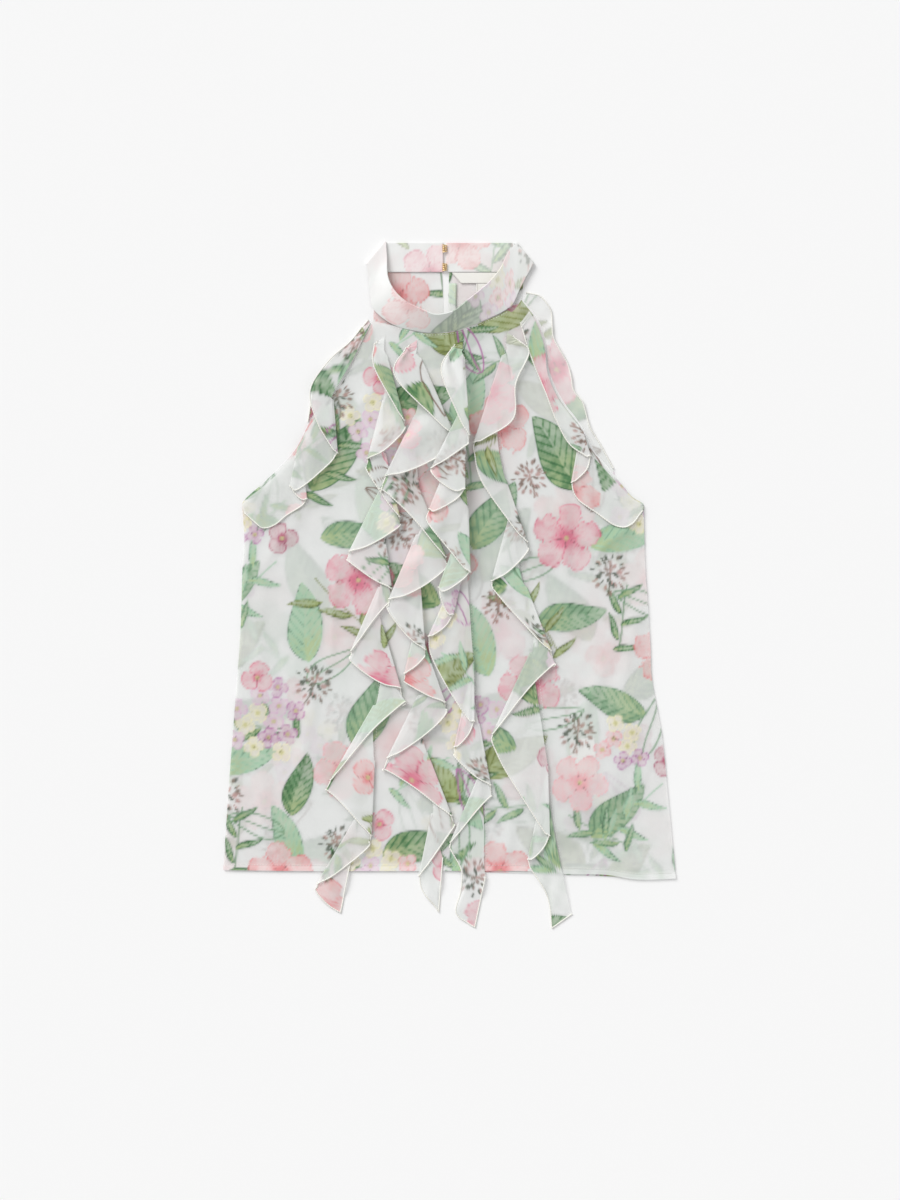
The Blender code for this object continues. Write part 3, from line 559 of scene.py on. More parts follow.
def paint_print(at):
    """Colour and amount of paint at flat places of the cloth, in millimetres."""
    at = np.asarray(at, float)
    colour = np.tile(GROUND, (len(at), 1))
    paint = np.zeros(len(at))
    mist = 0.6 * grain(at, 22.0) + 0.4 * grain(at + 31.0, 9.0)
    fine = 0.5 * grain(at, 6.0) + 0.3 * grain(at + 17.0, 2.6) + 0.2 * mist
    for x, y, size, tint in WASHES:
        chosen, along, across = near(at, x, y, 0, size)
        away = np.hypot(along, across) / size
        mask = (1 - ramp(away, 0.2, 1.0)) * ramp(mist[chosen], 0.25, 0.7) * WASH_COVER
        colour[chosen] += (np.array(TINTS[tint]) * 0.55 + 0.42 - colour[chosen]) * mask[:, None]
    for x, y, turn, count, half, tint in SPRAYS:
        reach = half * 0.45 * count
        lean = turn + SPRAY_BEND / 2 * count
        middle = reach * np.array([math.cos(math.radians(lean)), math.sin(math.radians(lean))])
        chosen, along, across = near(at, x + middle[0], y + middle[1], lean, reach)
        mask = ramp(stem(along, across, reach), -0.5, 0.7) * STEM_COVER
        full = np.array(TINTS[tint])
        lay_paint(colour, paint, chosen, mask, full, full, DARK_GREEN, np.full(len(mask), 0.9))
    for x, y, turn, half, share, tint in BIG_LEAVES + spray_leaves():
        chosen, along, across = near(at, x, y, turn, half)
        depth, inside, _ = leaf(along, across, half, share, fine[chosen])
        full = np.array(TINTS[tint])
        warm = ramp(along / half + 0.8 * (mist[chosen] - 0.5), -0.9, 0.5)[:, None]
        thin = (0.45 * full + 0.55 * PALE_GREEN) * warm + (0.3 * full + 0.7 * YOUNG_GREEN) * (1 - warm)
        dark = 0.3 * full + 0.7 * DARK_GREEN
        lay_paint(colour, paint, chosen, ramp(inside, -EDGE_SOFT, EDGE_SOFT), thin, full, dark, depth)
    for x, y, turn, half, share, tint in LINE_LEAVES:
        chosen, along, across = near(at, x, y, turn, half)
        _, _, drawn = leaf(along, across, half, share, fine[chosen])
        full = np.array(TINTS[tint])
        mask = ramp(drawn, -0.6, 0.7) * LINE_COVER
        lay_paint(colour, paint, chosen, mask, full, full, full * 0.4, fine[chosen] + 0.7)
    for x, y, turn, size, petals, tint in florets() + BLOSSOMS:
        chosen, along, across = near(at, x, y, turn, size)
        depth, inside, away = blossom(along, across, size, petals, fine[chosen])
        full = np.array(TINTS[tint])
        thin = 0.32 * full + 0.68 * PALE
        mask = ramp(inside, -EDGE_SOFT, EDGE_SOFT) * PETAL_COVER
        lay_paint(colour, paint, chosen, mask, thin, full, full * 0.42, depth)
        pip = (1 - ramp(away * size, 1.5, 3.4)) * PIP_COVER
        lay_paint(colour, paint, chosen, pip, PISTIL, PISTIL, PISTIL * 0.5, depth)
    for x, y, turn, size, tint in SEED_HEADS:
        chosen, along, across = near(at, x, y, turn, size * 1.3)
        depth, inside = seed_head(along, across, size, fine[chosen])
        full = np.array(TINTS[tint])
        mask = ramp(inside, -0.9, 0.7) * SEED_COVER
        lay_paint(colour, paint, chosen, mask, HUSK_PINK, full, full * 0.5, depth)
    return np.clip(colour, 0, 1), np.clip(paint, 0, 1)


SAMPLE_SEED = 1
SAMPLE_COUNT = 4000
sample, sample_paint = paint_print(np.random.default_rng(SAMPLE_SEED).random((SAMPLE_COUNT, 2)) * REPEAT)
print("mean colour", sample.mean(axis=0).round(3).tolist())
print("painted share", round(float(sample_paint.mean()), 3))

# %% [markdown]
# ## Shaders
#
# Formulas become nodes with a few helpers, one call for each step. The weave of the chiffon is a node
# group that any cloth can share: it takes the flat place on the cloth and gives a height for the bump and
# a soft unevenness.

# %% Node helpers and the weave
def add_node(tree, kind, **settings):
    made = tree.nodes.new(kind)
    for name, value in settings.items():
        setattr(made, name, value)
    return made


def put(tree, socket, value):
    """Links a socket to a value, or sets it where the value is a number or a colour."""
    if isinstance(value, bpy.types.NodeSocket):
        tree.links.new(value, socket)
    else:
        socket.default_value = value


def calc(tree, operation, *values):
    made = add_node(tree, "ShaderNodeMath", operation=operation)
    for socket, value in zip(made.inputs, values):
        put(tree, socket, value)
    return made.outputs[0]


def mix_colour(tree, factor, first, second):
    made = add_node(tree, "ShaderNodeMix", data_type="RGBA")
    for socket, value in ((made.inputs[0], factor), (made.inputs[6], first), (made.inputs[7], second)):
        put(tree, socket, value)
    return made.outputs[2]


def mottle(tree, place, scale, detail=2.0):
    """A soft random value between 0 and 1."""
    made = add_node(tree, "ShaderNodeTexNoise")
    for name, value in (("Vector", place), ("Scale", scale), ("Detail", detail)):
        put(tree, made.inputs[name], value)
    return made.outputs["Fac"]


THREADS_PER_METRE = 1500.0
CREPE_SCALE = 900.0
UNEVEN_SCALE = 60.0


def weave_group():
    tree = bpy.data.node_groups.new("chiffon_weave", "ShaderNodeTree")
    tree.interface.new_socket("At", in_out="INPUT", socket_type="NodeSocketVector")
    tree.interface.new_socket("Height", in_out="OUTPUT", socket_type="NodeSocketFloat")
    tree.interface.new_socket("Uneven", in_out="OUTPUT", socket_type="NodeSocketFloat")
    given = tree.nodes.new("NodeGroupInput").outputs
    out = tree.nodes.new("NodeGroupOutput").inputs
    parts = add_node(tree, "ShaderNodeSeparateXYZ")
    tree.links.new(given["At"], parts.inputs[0])
    turns = THREADS_PER_METRE * 2 * math.pi
    warp, weft = [calc(tree, "SINE", calc(tree, "MULTIPLY", parts.outputs[k], turns)) for k in (0, 1)]
    crepe = mottle(tree, given["At"], CREPE_SCALE)
    threads = calc(tree, "MULTIPLY", calc(tree, "MULTIPLY", warp, weft), 0.25)
    put(tree, out["Height"], calc(tree, "ADD", threads, crepe))
    put(tree, out["Uneven"], mottle(tree, given["At"], UNEVEN_SCALE, 3.0))
    return tree


WEAVE = weave_group()
print("weave group:", [socket.name for socket in WEAVE.interface.items_tree])

# %% [markdown]
# The cloth's colour and its opacity come from the painted attribute: paint makes sheer cloth a little
# denser, and so does a second layer at a hem. The wrong side shows the print paler, because the paint
# sits on the right side.

# %% Materials
WRONG_SIDE_PALE = 0.42
WHITE_CLOTH = (0.965, 0.97, 0.95, 1.0)
UNEVEN_RANGE = (0.12, 0.94)
WEAVE_BUMP = 0.25
THREAD_BUMP = 0.4
BUMP_DISTANCE = 0.0002
CLOTH_FINISH = {"Roughness": 0.8, "Sheen Weight": 0.25, "Sheen Roughness": 0.45, "Specular IOR Level": 0.25}


def new_material(name):
    made = bpy.data.materials.new(name)
    made.use_nodes = True
    return made, made.node_tree, made.node_tree.nodes["Principled BSDF"]


def bump_normal(tree, height, strength):
    bump = add_node(tree, "ShaderNodeBump")
    for name, value in (("Strength", strength), ("Distance", BUMP_DISTANCE), ("Height", height)):
        put(tree, bump.inputs[name], value)
    return bump.outputs["Normal"]


def cloth_material(name, wrong_side_pale):
    made, tree, shader = new_material(name)
    printed = add_node(tree, "ShaderNodeAttribute", attribute_name="print")
    flat_place = add_node(tree, "ShaderNodeUVMap", uv_map="flat")
    weave = add_node(tree, "ShaderNodeGroup", node_tree=WEAVE)
    tree.links.new(flat_place.outputs["UV"], weave.inputs["At"])
    behind = add_node(tree, "ShaderNodeNewGeometry").outputs["Backfacing"]
    paleness = calc(tree, "MULTIPLY", behind, wrong_side_pale)
    tone = mix_colour(tree, paleness, printed.outputs["Color"], WHITE_CLOTH)
    shade = calc(tree, "MULTIPLY_ADD", weave.outputs["Uneven"], *UNEVEN_RANGE)
    bright = add_node(tree, "ShaderNodeVectorMath", operation="SCALE")
    put(tree, bright.inputs[0], tone)
    put(tree, bright.inputs["Scale"], shade)
    put(tree, shader.inputs["Base Color"], bright.outputs["Vector"])
    put(tree, shader.inputs["Alpha"], printed.outputs["Alpha"])
    put(tree, shader.inputs["Normal"], bump_normal(tree, weave.outputs["Height"], WEAVE_BUMP))
    for label, value in CLOTH_FINISH.items():
        put(tree, shader.inputs[label], value)
    return made


def plain_material(name, colour, roughness, metallic=0.0, bump_scale=0.0):
    made, tree, shader = new_material(name)
    put(tree, shader.inputs["Base Color"], (*colour, 1.0))
    put(tree, shader.inputs["Roughness"], roughness)
    put(tree, shader.inputs["Metallic"], metallic)
    if bump_scale:
        place = add_node(tree, "ShaderNodeTexCoord").outputs["Object"]
        rough = mottle(tree, place, bump_scale)
        put(tree, shader.inputs["Normal"], bump_normal(tree, rough, THREAD_BUMP))
    return made


CHIFFON = cloth_material("chiffon_print", WRONG_SIDE_PALE)
THREAD = plain_material("overlock_thread", (0.93, 0.92, 0.86), 0.7, bump_scale=2500.0)
STITCH = plain_material("stitch_thread", (0.80, 0.80, 0.77), 0.7)
LABEL = plain_material("label_satin", (0.90, 0.885, 0.84), 0.45, bump_scale=1800.0)
GOLD = plain_material("gold_wire", (0.83, 0.62, 0.33), 0.28, metallic=1.0)
print("materials:", [m.name for m in (CHIFFON, THREAD, STITCH, LABEL, GOLD)])

# %% [markdown]
# ## Creases
#
# Chiffon on a table keeps a few soft ridges. They are listed: where the middle of each lies, its
# heading, half length, half width and height. Everything that lies on the front rises with it, so the
# layers stay apart.

# %% Creases
# Columns: x, y, heading in degrees, half length, half width, height
FRONT_CREASES = [
    (-200, -40, 94, 80, 9, 1.6), (-172, 55, 62, 55, 7, 1.3), (-150, -150, 84, 95, 8, 1.8),
    (-122, -20, 92, 70, 6, 1.4), (-196, -225, 96, 60, 9, 1.5), (120, 60, 98, 75, 7, 1.7),
    (172, 50, 48, 48, 6, 1.5), (190, -60, 84, 70, 9, 1.6), (150, -110, 74, 60, 7, 1.3),
    (168, -235, 92, 62, 8, 1.8), (206, -190, 80, 50, 7, 1.2), (96, -40, 96, 110, 8, 1.6),
    (-95, 190, 58, 45, 6, 1.2), (104, 200, 112, 50, 6, 1.3), (-60, -270, 88, 26, 6, 1.1),
    (62, -265, 94, 30, 7, 1.3), (-12, 120, 90, 120, 10, 1.0),
]
BACK_CREASES = [(-120, 60, 80, 90, 12, 0.35), (90, 20, 96, 110, 12, 0.35), (-30, -120, 90, 90, 14, 0.3),
                (140, -180, 70, 60, 10, 0.3), (-170, -180, 100, 70, 12, 0.3)]
RIDGE_BEND = 4.0
RIDGE_TAPER = 0.35
RIDGE_LEAST_WIDTH = 2.0
RIDGE_FADE = 0.35
# The front's rise, as on its solid: it dies away at the sides and the hem, and grows at neck and label
RISE_HALF_WIDTH = 220
RISE_SIDE_FADE = 40
RISE_HEM_FADE = (-295, -250)
RISE_HEIGHT = 1.2
NECK_MIDDLE = (-10.0, 268.0)
NECK_SQUASH = 0.9
NECK_CORE = 45.0
CARE_CORE = 28.0
CREASE_HEM_FADE = (-300, -270)
CREASE_NECK_Y = 300
CREASE_NECK_FADE = 40


def crease_height(x, y, creases):
    total = np.zeros(np.shape(x))
    for cx, cy, heading, half_length, half_width, height in creases:
        c, s = math.cos(math.radians(heading)), math.sin(math.radians(heading))
        along = c * (x - cx) + s * (y - cy)
        across = c * (y - cy) - s * (x - cx) + RIDGE_BEND * np.sin(along / half_length * 2.1)
        slim = half_width * (1 + RIDGE_TAPER * along / half_length)
        ridge = np.exp(-((across / np.maximum(slim, RIDGE_LEAST_WIDTH)) ** 2))
        total += height * ridge * (1 - ramp(np.abs(along), half_length * RIDGE_FADE, half_length))
    return total


def front_rise(x, y):
    """Height of the front panel's underside, as on its solid."""
    inside = ramp(RISE_HALF_WIDTH - np.abs(x), 0, RISE_SIDE_FADE) * ramp(y, *RISE_HEM_FADE)
    waves = 0.5 + 0.28 * np.sin(x / 31.0 + y / 90.0) + 0.22 * np.sin(x / 17.0 - y / 60.0 + 1.0)
    from_neck = np.hypot(x - NECK_MIDDLE[0], (y - NECK_MIDDLE[1]) * NECK_SQUASH)
    neck = NECK_LIFT * (1 - ramp(from_neck, NECK_CORE, NECK_LIFT_REACH + NECK_CORE))
    care_x, care_y = LABELS["care_label"][:2]
    from_care = np.hypot(x - care_x, y - care_y)
    care = CARE_BUMP * (1 - ramp(from_care, CARE_CORE, CARE_CORE + CARE_BUMP_REACH))
    return CLOTH + LAYER_GAP + np.maximum(inside * waves, 0.0) * RISE_HEIGHT + neck + care


def front_lift(x, y):
    """What the creases add to everything that lies on the front."""
    edge = ramp(y, *CREASE_HEM_FADE) * ramp(CREASE_NECK_Y - y, 0, CREASE_NECK_FADE)
    return crease_height(x, y, FRONT_CREASES) * edge


print(len(FRONT_CREASES), "creases in front,", len(BACK_CREASES), "behind")

# %% [markdown]
# ## From a grid to a cloth
#
# One function turns a grid of points into a mesh: it paints the print at each point from its flat place,
# stores the opacity beside it and keeps the flat place as the UV map, in metres.

# %% From a grid to a cloth
SHEER = 0.60
PAINT_DENSITY = 0.38
HEM_WIDTH = 6.0
HEM_DENSITY = 0.20
MOST_OPAQUE = 0.98


def new_object(name, points, faces, finish):
    """An object from points in millimetres."""
    mesh = bpy.data.meshes.new(name)
    mesh.from_pydata((np.asarray(points) * MM).tolist(), [], np.asarray(faces).tolist())
    mesh.materials.append(finish)
    mesh.shade_smooth()
    thing = bpy.data.objects.new(name, mesh)
    bpy.context.scene.collection.objects.link(thing)
    return thing


def print_on(thing, flat, dense=0.0):
    """Paints a cloth whose points have these flat places. dense is above 0 where it lies double."""
    flat = flat.reshape(-1, 2)
    colour, paint = paint_print(flat)
    opacity = np.clip(SHEER + PAINT_DENSITY * paint + HEM_DENSITY * np.ravel(dense), 0, MOST_OPAQUE)
    mesh = thing.data
    stored = mesh.color_attributes.new("print", "FLOAT_COLOR", "POINT")
    stored.data.foreach_set("color", np.column_stack([colour, opacity]).astype(np.float32).ravel())
    corner = np.empty(len(mesh.loops), int)
    mesh.loops.foreach_get("vertex_index", corner)
    uv = mesh.uv_layers.new(name="flat")
    uv.data.foreach_set("uv", (flat[corner] * MM).astype(np.float32).ravel())


def placed(thing, node=None):
    """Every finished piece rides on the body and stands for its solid."""
    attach(thing, "root")
    if node:
        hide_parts(node)
    return thing


pieces = {}
print("cloth helpers ready")

# %% [markdown]
# ## Front and back panels
#
# The front is one grid between its side seams, hem and neck. The back is two halves that part above the
# end of the slit. Both carry the print straight, as cut from one cloth. The back is cut from another
# place of it, and its print is mirrored, because its right side faces the table.

# %% Front and back panels
FINE_ROWS = 330
FINE_COLUMNS = 270
BACK_FINE_ROWS = 250
BACK_FINE_COLUMNS = 105
ARM_SHARE_FINE = 0.44
SLIT_SHARE = 0.20
BACK_PRINT_SHIFT = np.array([171.0, 96.0])
FRONT_NECK_LEFT = (-81, 278)
FRONT_NECK_RIGHT = [(66, 288), (75, 300)]
NECK_SEAM_X = (-70, 60)
BACK_NECK_LEFT = (-80.5, 281)
BACK_NECK_RIGHT = (75.5, 301)
BACK_TOP_HALF = 78
BACK_TOP_SHARE = 0.08
HEM_RAISE = 0.35
HEM_STEP = 0.8
HEM_BLUR = 1


def edge_of(side_rows, armhole_rows, count):
    """Points up one side of the body, about evenly spaced."""
    side = smooth_path(side_rows)
    path = np.vstack([side, smooth_path(armhole_rows[::-1])[1:]])
    corner = lengths(side)[-1] / lengths(path)[-1]
    fraction = np.interp(np.linspace(0, 1, count), [0, 1 - ARM_SHARE_FINE, 1], [0, corner, 1])
    return at_fraction(path, fraction)


def below_collar(row):
    """A point on the front's neck edge, clear of the collar band's lower edge."""
    bx, by, tx, ty, _ = row
    line = np.array([tx - bx, ty - by], float)
    line /= np.linalg.norm(line)
    return tuple(np.array([bx, by]) - line * (SEAM_GAP + 1.0))


def neck_seam():
    """The front's neck edge where the collar is sewn on."""
    return [below_collar(row) for row in COLLAR_FRONT if NECK_SEAM_X[0] < row[0] < NECK_SEAM_X[1]]


def hem_share(x, y):
    """1 on the doubled hem and 0 above it."""
    return 1 - ramp(y - hem_y(x), HEM_WIDTH - HEM_BLUR, HEM_WIDTH + HEM_BLUR)


def front_plan(rows, columns):
    neck_rows = [FRONT_NECK_LEFT] + neck_seam() + FRONT_NECK_RIGHT
    return patch(edge_of(LEFT_SIDE, LEFT_ARMHOLE, rows), edge_of(RIGHT_SIDE, RIGHT_ARMHOLE, rows),
                 at_fraction(smooth_path(HEM), np.linspace(0, 1, columns)),
                 at_fraction(smooth_path(neck_rows), np.linspace(0, 1, columns)))


def front_panel():
    flat = front_plan(FINE_ROWS, FINE_COLUMNS)
    x, y = flat[..., 0], flat[..., 1]
    z = front_rise(x, y) + CLOTH / 2 + front_lift(x, y)
    z = z + HEM_RAISE * (1 - ramp(y - hem_y(x), HEM_WIDTH - HEM_STEP, HEM_WIDTH + HEM_STEP))
    grid = np.dstack([flat, z])
    thing = new_object("front_cloth", grid.reshape(-1, 3), grid_faces(*grid.shape[:2]), CHIFFON)
    print_on(thing, flat, hem_share(x, y))
    return placed(thing, "front_panel")


def back_edge(side_rows, armhole_rows, neck_corner, top_corner):
    """The outer edge of one half of the back, from the hem to the collar."""
    edge = edge_of(side_rows, armhole_rows, BACK_FINE_ROWS)
    tall = int(BACK_FINE_ROWS * BACK_TOP_SHARE)
    return np.vstack([at_fraction(edge, np.linspace(0, 1, BACK_FINE_ROWS - tall)),
                      np.linspace(neck_corner, top_corner, tall)])


def back_panel():
    top_y = COLLAR_BACK_Y[0] - SEAM_GAP
    slit_end = top_y - SLIT_LENGTH
    left = back_edge(LEFT_SIDE, LEFT_ARMHOLE, BACK_NECK_LEFT, (-BACK_TOP_HALF, top_y))
    right = back_edge(RIGHT_SIDE, RIGHT_ARMHOLE, BACK_NECK_RIGHT, (BACK_TOP_HALF, top_y))
    heights = [hem_y(SLIT_X), slit_end, top_y]
    rows_y = np.interp(np.linspace(0, 1, BACK_FINE_ROWS), [0, 1 - SLIT_SHARE, 1], heights)
    opening = np.interp(rows_y, [slit_end - 0.1, slit_end, top_y], [0, SLIT_END_WIDTH, SLIT_TOP_WIDTH]) / 2
    t = np.linspace(0, 1, BACK_FINE_COLUMNS)[None, :, None]
    points, faces = [], []
    for edge, sign in ((left, -1), (right, 1)):
        middle = np.column_stack([SLIT_X + sign * opening, rows_y])
        flat = edge[:, None] * (1 - t) + middle[:, None] * t
        flat = flat if sign < 0 else flat[:, ::-1]
        faces.append(grid_faces(*flat.shape[:2]) + sum(len(p) for p in points))
        points.append(flat.reshape(-1, 2))
    flat = np.vstack(points)
    x, y = flat.T
    z = CLOTH / 2 + crease_height(x, y, BACK_CREASES)
    thing = new_object("back_cloth", np.column_stack([flat, z]), np.vstack(faces), CHIFFON)
    print_on(thing, flat * (-1, 1) + BACK_PRINT_SHIFT, hem_share(x, y))
    return placed(thing, "back_panel")


pieces["front"] = front_panel()
pieces["back"] = back_panel()
print("front", len(pieces["front"].data.polygons), "faces, back", len(pieces["back"].data.polygons))

# %% [markdown]
# ## Ruffles: lines from seam to edge
#
# Between two folds a ruffle is a fan of straight lines from the seam to the free edge. The windows below
# decide when each end of a line moves, so that no part of the fan turns over.

# %% Ruffle lines
WINDOWS = [(0, 1), (0, 0.75), (0, 0.5), (0.25, 1), (0.5, 1)]
TURN_SCALE = 10.0


def between_folds(rows):
    """The rows in groups, each from one fold or end of the strip to the next."""
    groups = [[rows[0]]]
    for row in rows[1:]:
        groups[-1].append(row)
        if row[4]:
            groups.append([row])
    return [group for group in groups if len(group) > 1]


def lines_between(seam_at, group, seam_window, edge_window):
    """Plan ends of the lines across one stretch. Each end moves during its own window of the stretch."""
    path = smooth_path([row[1:4] for row in group])
    count = RUN_STEPS + BEND_STEPS * (len(group) - 2) + 1
    t = np.linspace(0, 1, count)
    edge_part = EDGE_CREEP * t + (1 - EDGE_CREEP) * ramp(t, *edge_window)
    edge = at_fraction(path, edge_part)
    given = [(row[0], i / (len(group) - 1)) for i, row in enumerate(group) if row[0] is not None]
    places = np.array([place for place, _ in given], float)
    if len(given) == 2:
        seam_part = ramp(t, *seam_window)
    else:
        shares = (places - places[0]) / (places[-1] - places[0])
        seam_part = np.interp(edge_part, [at for _, at in given], shares)
    seam = np.array([seam_at(places[0] + (places[-1] - places[0]) * part) for part in seam_part])
    return seam, edge


def least_turn(seam, edge, sign):
    """The least turn of the cloth from line to line; below 0 some of it would be turned over."""
    least = 1.0
    for v in (SEAM_START, 0.5, 1.0):
        points = seam * (1 - v) + edge[:, :2] * v
        step = np.diff(points, axis=0)
        line = (edge[:, :2] - seam)[:-1]
        cross = step[:, 0] * line[:, 1] - step[:, 1] * line[:, 0]
        least = min(least, float((sign * cross / (np.linalg.norm(line, axis=1) * TURN_SCALE)).min()))
    return least


def best_lines(seam_at, group, signs):
    """The turning side and the lines of a stretch, with the windows that turn it over least."""
    best = None
    for sign in signs:
        for seam_window in WINDOWS:
            for edge_window in WINDOWS:
                found = lines_between(seam_at, group, seam_window, edge_window)
                score = least_turn(found[0], found[1], sign)
                if best is None or score > best[0]:
                    best = (score, sign, found)
    return best[1], best[2]


def ruffle_stretches(seam_at, rows):
    """The stretches of a ruffle, each as a plan grid, its lift and where its last fold bulges to."""
    made = []
    signs = (1, -1)
    v = np.linspace(SEAM_START, 1, ACROSS_STEPS + 1)[None, :, None]
    for group in between_folds(rows):
        sign, (seam, edge) = best_lines(seam_at, group, signs)
        signs = (-sign,)
        plan = seam[:, None] * (1 - v) + edge[:, None, :2] * v
        lift = edge[:, None, 2] * v[..., 0] ** 2
        line = (edge[-1, :2] - seam[-1]) / np.linalg.norm(edge[-1, :2] - seam[-1])
        made.append({"plan": plan, "lift": lift, "out": sign * np.array([line[1], -line[0]]),
                     "straight": len(group) == 2})
    return made


def cascade_stretches(cut):
    path = smooth_path(cut["seam"])[::-1]
    return ruffle_stretches(lambda y: np.array([np.interp(y, path[:, 1], path[:, 0]), y]), cut["edge"])


def frill_stretches(cut):
    left = cut["side"] == "left"
    path = smooth_path(LEFT_ARMHOLE if left else RIGHT_ARMHOLE)
    away = np.array([-cut["out"] if left else cut["out"], cut["out"]])
    return ruffle_stretches(lambda distance: at_distance(path, distance) + away, cut["edge"])


stretches = {name: cascade_stretches(cut) for name, cut in CASCADES.items()}
stretches.update({name: frill_stretches(cut) for name, cut in ARMHOLE_FRILLS.items()})
print({name: len(found) for name, found in stretches.items()}, "stretches")

# %% [markdown]
# ## Ruffles: laying the cloth
#
# The stretches are laid from the lowest up. A pile remembers the top of all that lies below on a fine
# grid of heights, so each new stretch finds its own height: on the surface, on the front or on other
# folds.

# %% Laying
def face_samples(grid):
    """Points spread over each face of a grid, with shape (rows, columns, samples, samples, values)."""
    t = np.linspace(0, 1, SAMPLES)
    u = t[None, None, :, None, None]
    v = t[None, None, None, :, None]
    corners = (grid[:-1, :-1], grid[1:, :-1], grid[:-1, 1:], grid[1:, 1:])
    a, b, c, d = [part[:, :, None, None, :] for part in corners]
    return (a * (1 - u) + b * u) * (1 - v) + (c * (1 - u) + d * u) * v


class Pile:
    """The top of all that has been laid so far, as heights on a fine grid over the garment."""

    def __init__(self):
        self.top = np.full((int(2 * REACH[0] / CELL), int(2 * REACH[1] / CELL)), -1.0)

    def cells(self, points):
        place = (points[..., :2] + np.array(REACH)) / CELL
        return place[..., 0].astype(int), place[..., 1].astype(int)

    def under(self, plan):
        """The highest place under the faces round each point of a plan grid."""
        highest = self.top[self.cells(face_samples(plan))].max(axis=(2, 3))
        padded = np.pad(highest, 1, constant_values=-1.0)
        return np.maximum.reduce([padded[:-1, :-1], padded[1:, :-1], padded[:-1, 1:], padded[1:, 1:]])

    def lay(self, grid):
        points = face_samples(grid)
        across, along = self.cells(points)
        for dx in (-1, 0, 1):
            for dy in (-1, 0, 1):
                np.maximum.at(self.top, (across + dx, along + dy), points[..., 2] + CLOTH / 2)


def lay_stretch(stretch, below, pile):
    plan = stretch["plan"]
    z = np.maximum(pile.under(plan) + LAYER_GAP, 0) + CLOTH / 2 + stretch["lift"]
    if below is not None:
        across = np.linspace(0, 1, z.shape[1])
        z[-1] = np.maximum(z[-1], below["grid"][0, :, 2] + FOLD_STEP + FOLD_LOFT * across)
    for _ in range(BRIDGE_PASSES):
        z[1:-1] = np.maximum(z[1:-1], (z[:-2] + z[2:]) / 2)
    stretch["grid"] = np.dstack([plan, z])
    pile.lay(stretch["grid"])


ROWS_OF_SOLID = 21
COLUMNS_OF_SOLID = 17
pile = Pile()
for name in LAYING:
    if name == "front_panel":
        plan = front_plan(ROWS_OF_SOLID, COLUMNS_OF_SOLID)
        pile.lay(np.dstack([plan, front_rise(plan[..., 0], plan[..., 1]) + CLOTH / 2]))
        continue
    below = None
    for stretch in reversed(stretches[name]):
        lay_stretch(stretch, below, pile)
        below = stretch
print("highest fold", round(float(pile.top.max()), 1), "mm")

# %% [markdown]
# ## Ruffles: the cloth itself
#
# Each stretch becomes a fine grid with a soft flutter at its free edge, and half-round folds join the
# stretches. To print it, the strip is rolled out flat: line after line is set down beside the last one at
# its true distances, so the print runs on round every fold and is never stretched.

# %% Ruffle cloth
FINE_STEP = 2.1
FOLD_ROWS = 7
FLUTTER = 0.6
FLUTTER_WAVE = 21.0
BOW = 0.07
SWAY = 0.05
TIP_ROUND = 4.5
TIP_REACH = 8.0
SWAY_TURN = 1.3
LEAST_COLUMNS = 8
LEAST_ROWS = 6
LOWEST_CLOTH = 0.3
ROLLED_DENSITY = 0.8
ROLLED_REACH = (0.8, 2.2)


def hairpin(upper, lower, out, bulge, count):
    """Rows of a half-round fold between two rows of points that lie one over the other."""
    radius = np.minimum(np.abs(upper[:, 2] - lower[:, 2]) / 2, bulge)
    rows = []
    for k in range(1, count):
        angle = math.pi * k / count
        row = upper + (lower - upper) * (1 - math.cos(angle)) / 2
        row[:, :2] += np.outer(radius * math.sin(angle), out)
        rows.append(row)
    return rows


def third_corner(p, q, from_p, from_q):
    """The corner of a triangle ahead of the side from p to q, at these distances from them."""
    side = q - p
    length = max(np.linalg.norm(side), 1e-6)
    side = side / length
    along = (from_p**2 - from_q**2 + length**2) / (2 * length)
    ahead = math.sqrt(max(from_p**2 - along**2, 0.0))
    return p + side * along + np.array([side[1], -side[0]]) * ahead


def rolled_out(grid):
    """Flat places of a strip's points, from the true distances between its lines."""
    seam, edge = grid[:, 0], grid[:, -1]
    a, b = np.zeros(2), np.array([0.0, np.linalg.norm(edge[0] - seam[0])])
    ends = [(a, b)]
    for i in range(1, len(grid)):
        slanted, outer = np.linalg.norm(edge[i] - seam[i - 1]), np.linalg.norm(edge[i] - edge[i - 1])
        b = third_corner(a, b, slanted, outer)
        inner, straight = np.linalg.norm(seam[i] - seam[i - 1]), np.linalg.norm(seam[i] - edge[i])
        a = third_corner(a, b, inner, straight)
        ends.append((a, b))
    ends = np.array(ends)
    v = np.linspace(0, 1, grid.shape[1])[None, :, None]
    return ends[:, :1] * (1 - v) + ends[:, 1:] * v


def softened(fine, long, straight, fold_before, fold_after):
    """A stretch whose free edge bows out between its folds, rounds off at them and flutters a little."""
    t = np.linspace(0, 1, len(fine))
    sway = SWAY * math.sin(SWAY_TURN * long)
    amount = 0 * t
    if straight:
        amount = long * (BOW * np.sin(math.pi * t) + sway * np.sin(2 * math.pi * t))
    for there, distance in ((fold_before, t * long), (fold_after, (1 - t) * long)):
        if there:
            amount = amount - TIP_ROUND * np.exp(-((distance / TIP_REACH) ** 2))
    line = fine[:, -1, :2] - fine[:, 0, :2]
    line = line / np.linalg.norm(line, axis=1, keepdims=True)
    v = np.linspace(0, 1, fine.shape[1])[None, :, None]
    fine[..., :2] += line[:, None] * amount[:, None, None] * v**2
    wave = np.sin(t * long / FLUTTER_WAVE * 2 * math.pi + long) * np.sin(math.pi * t)
    fine[..., 2] += FLUTTER * wave[:, None] * v[..., 0] ** 1.5
    return fine


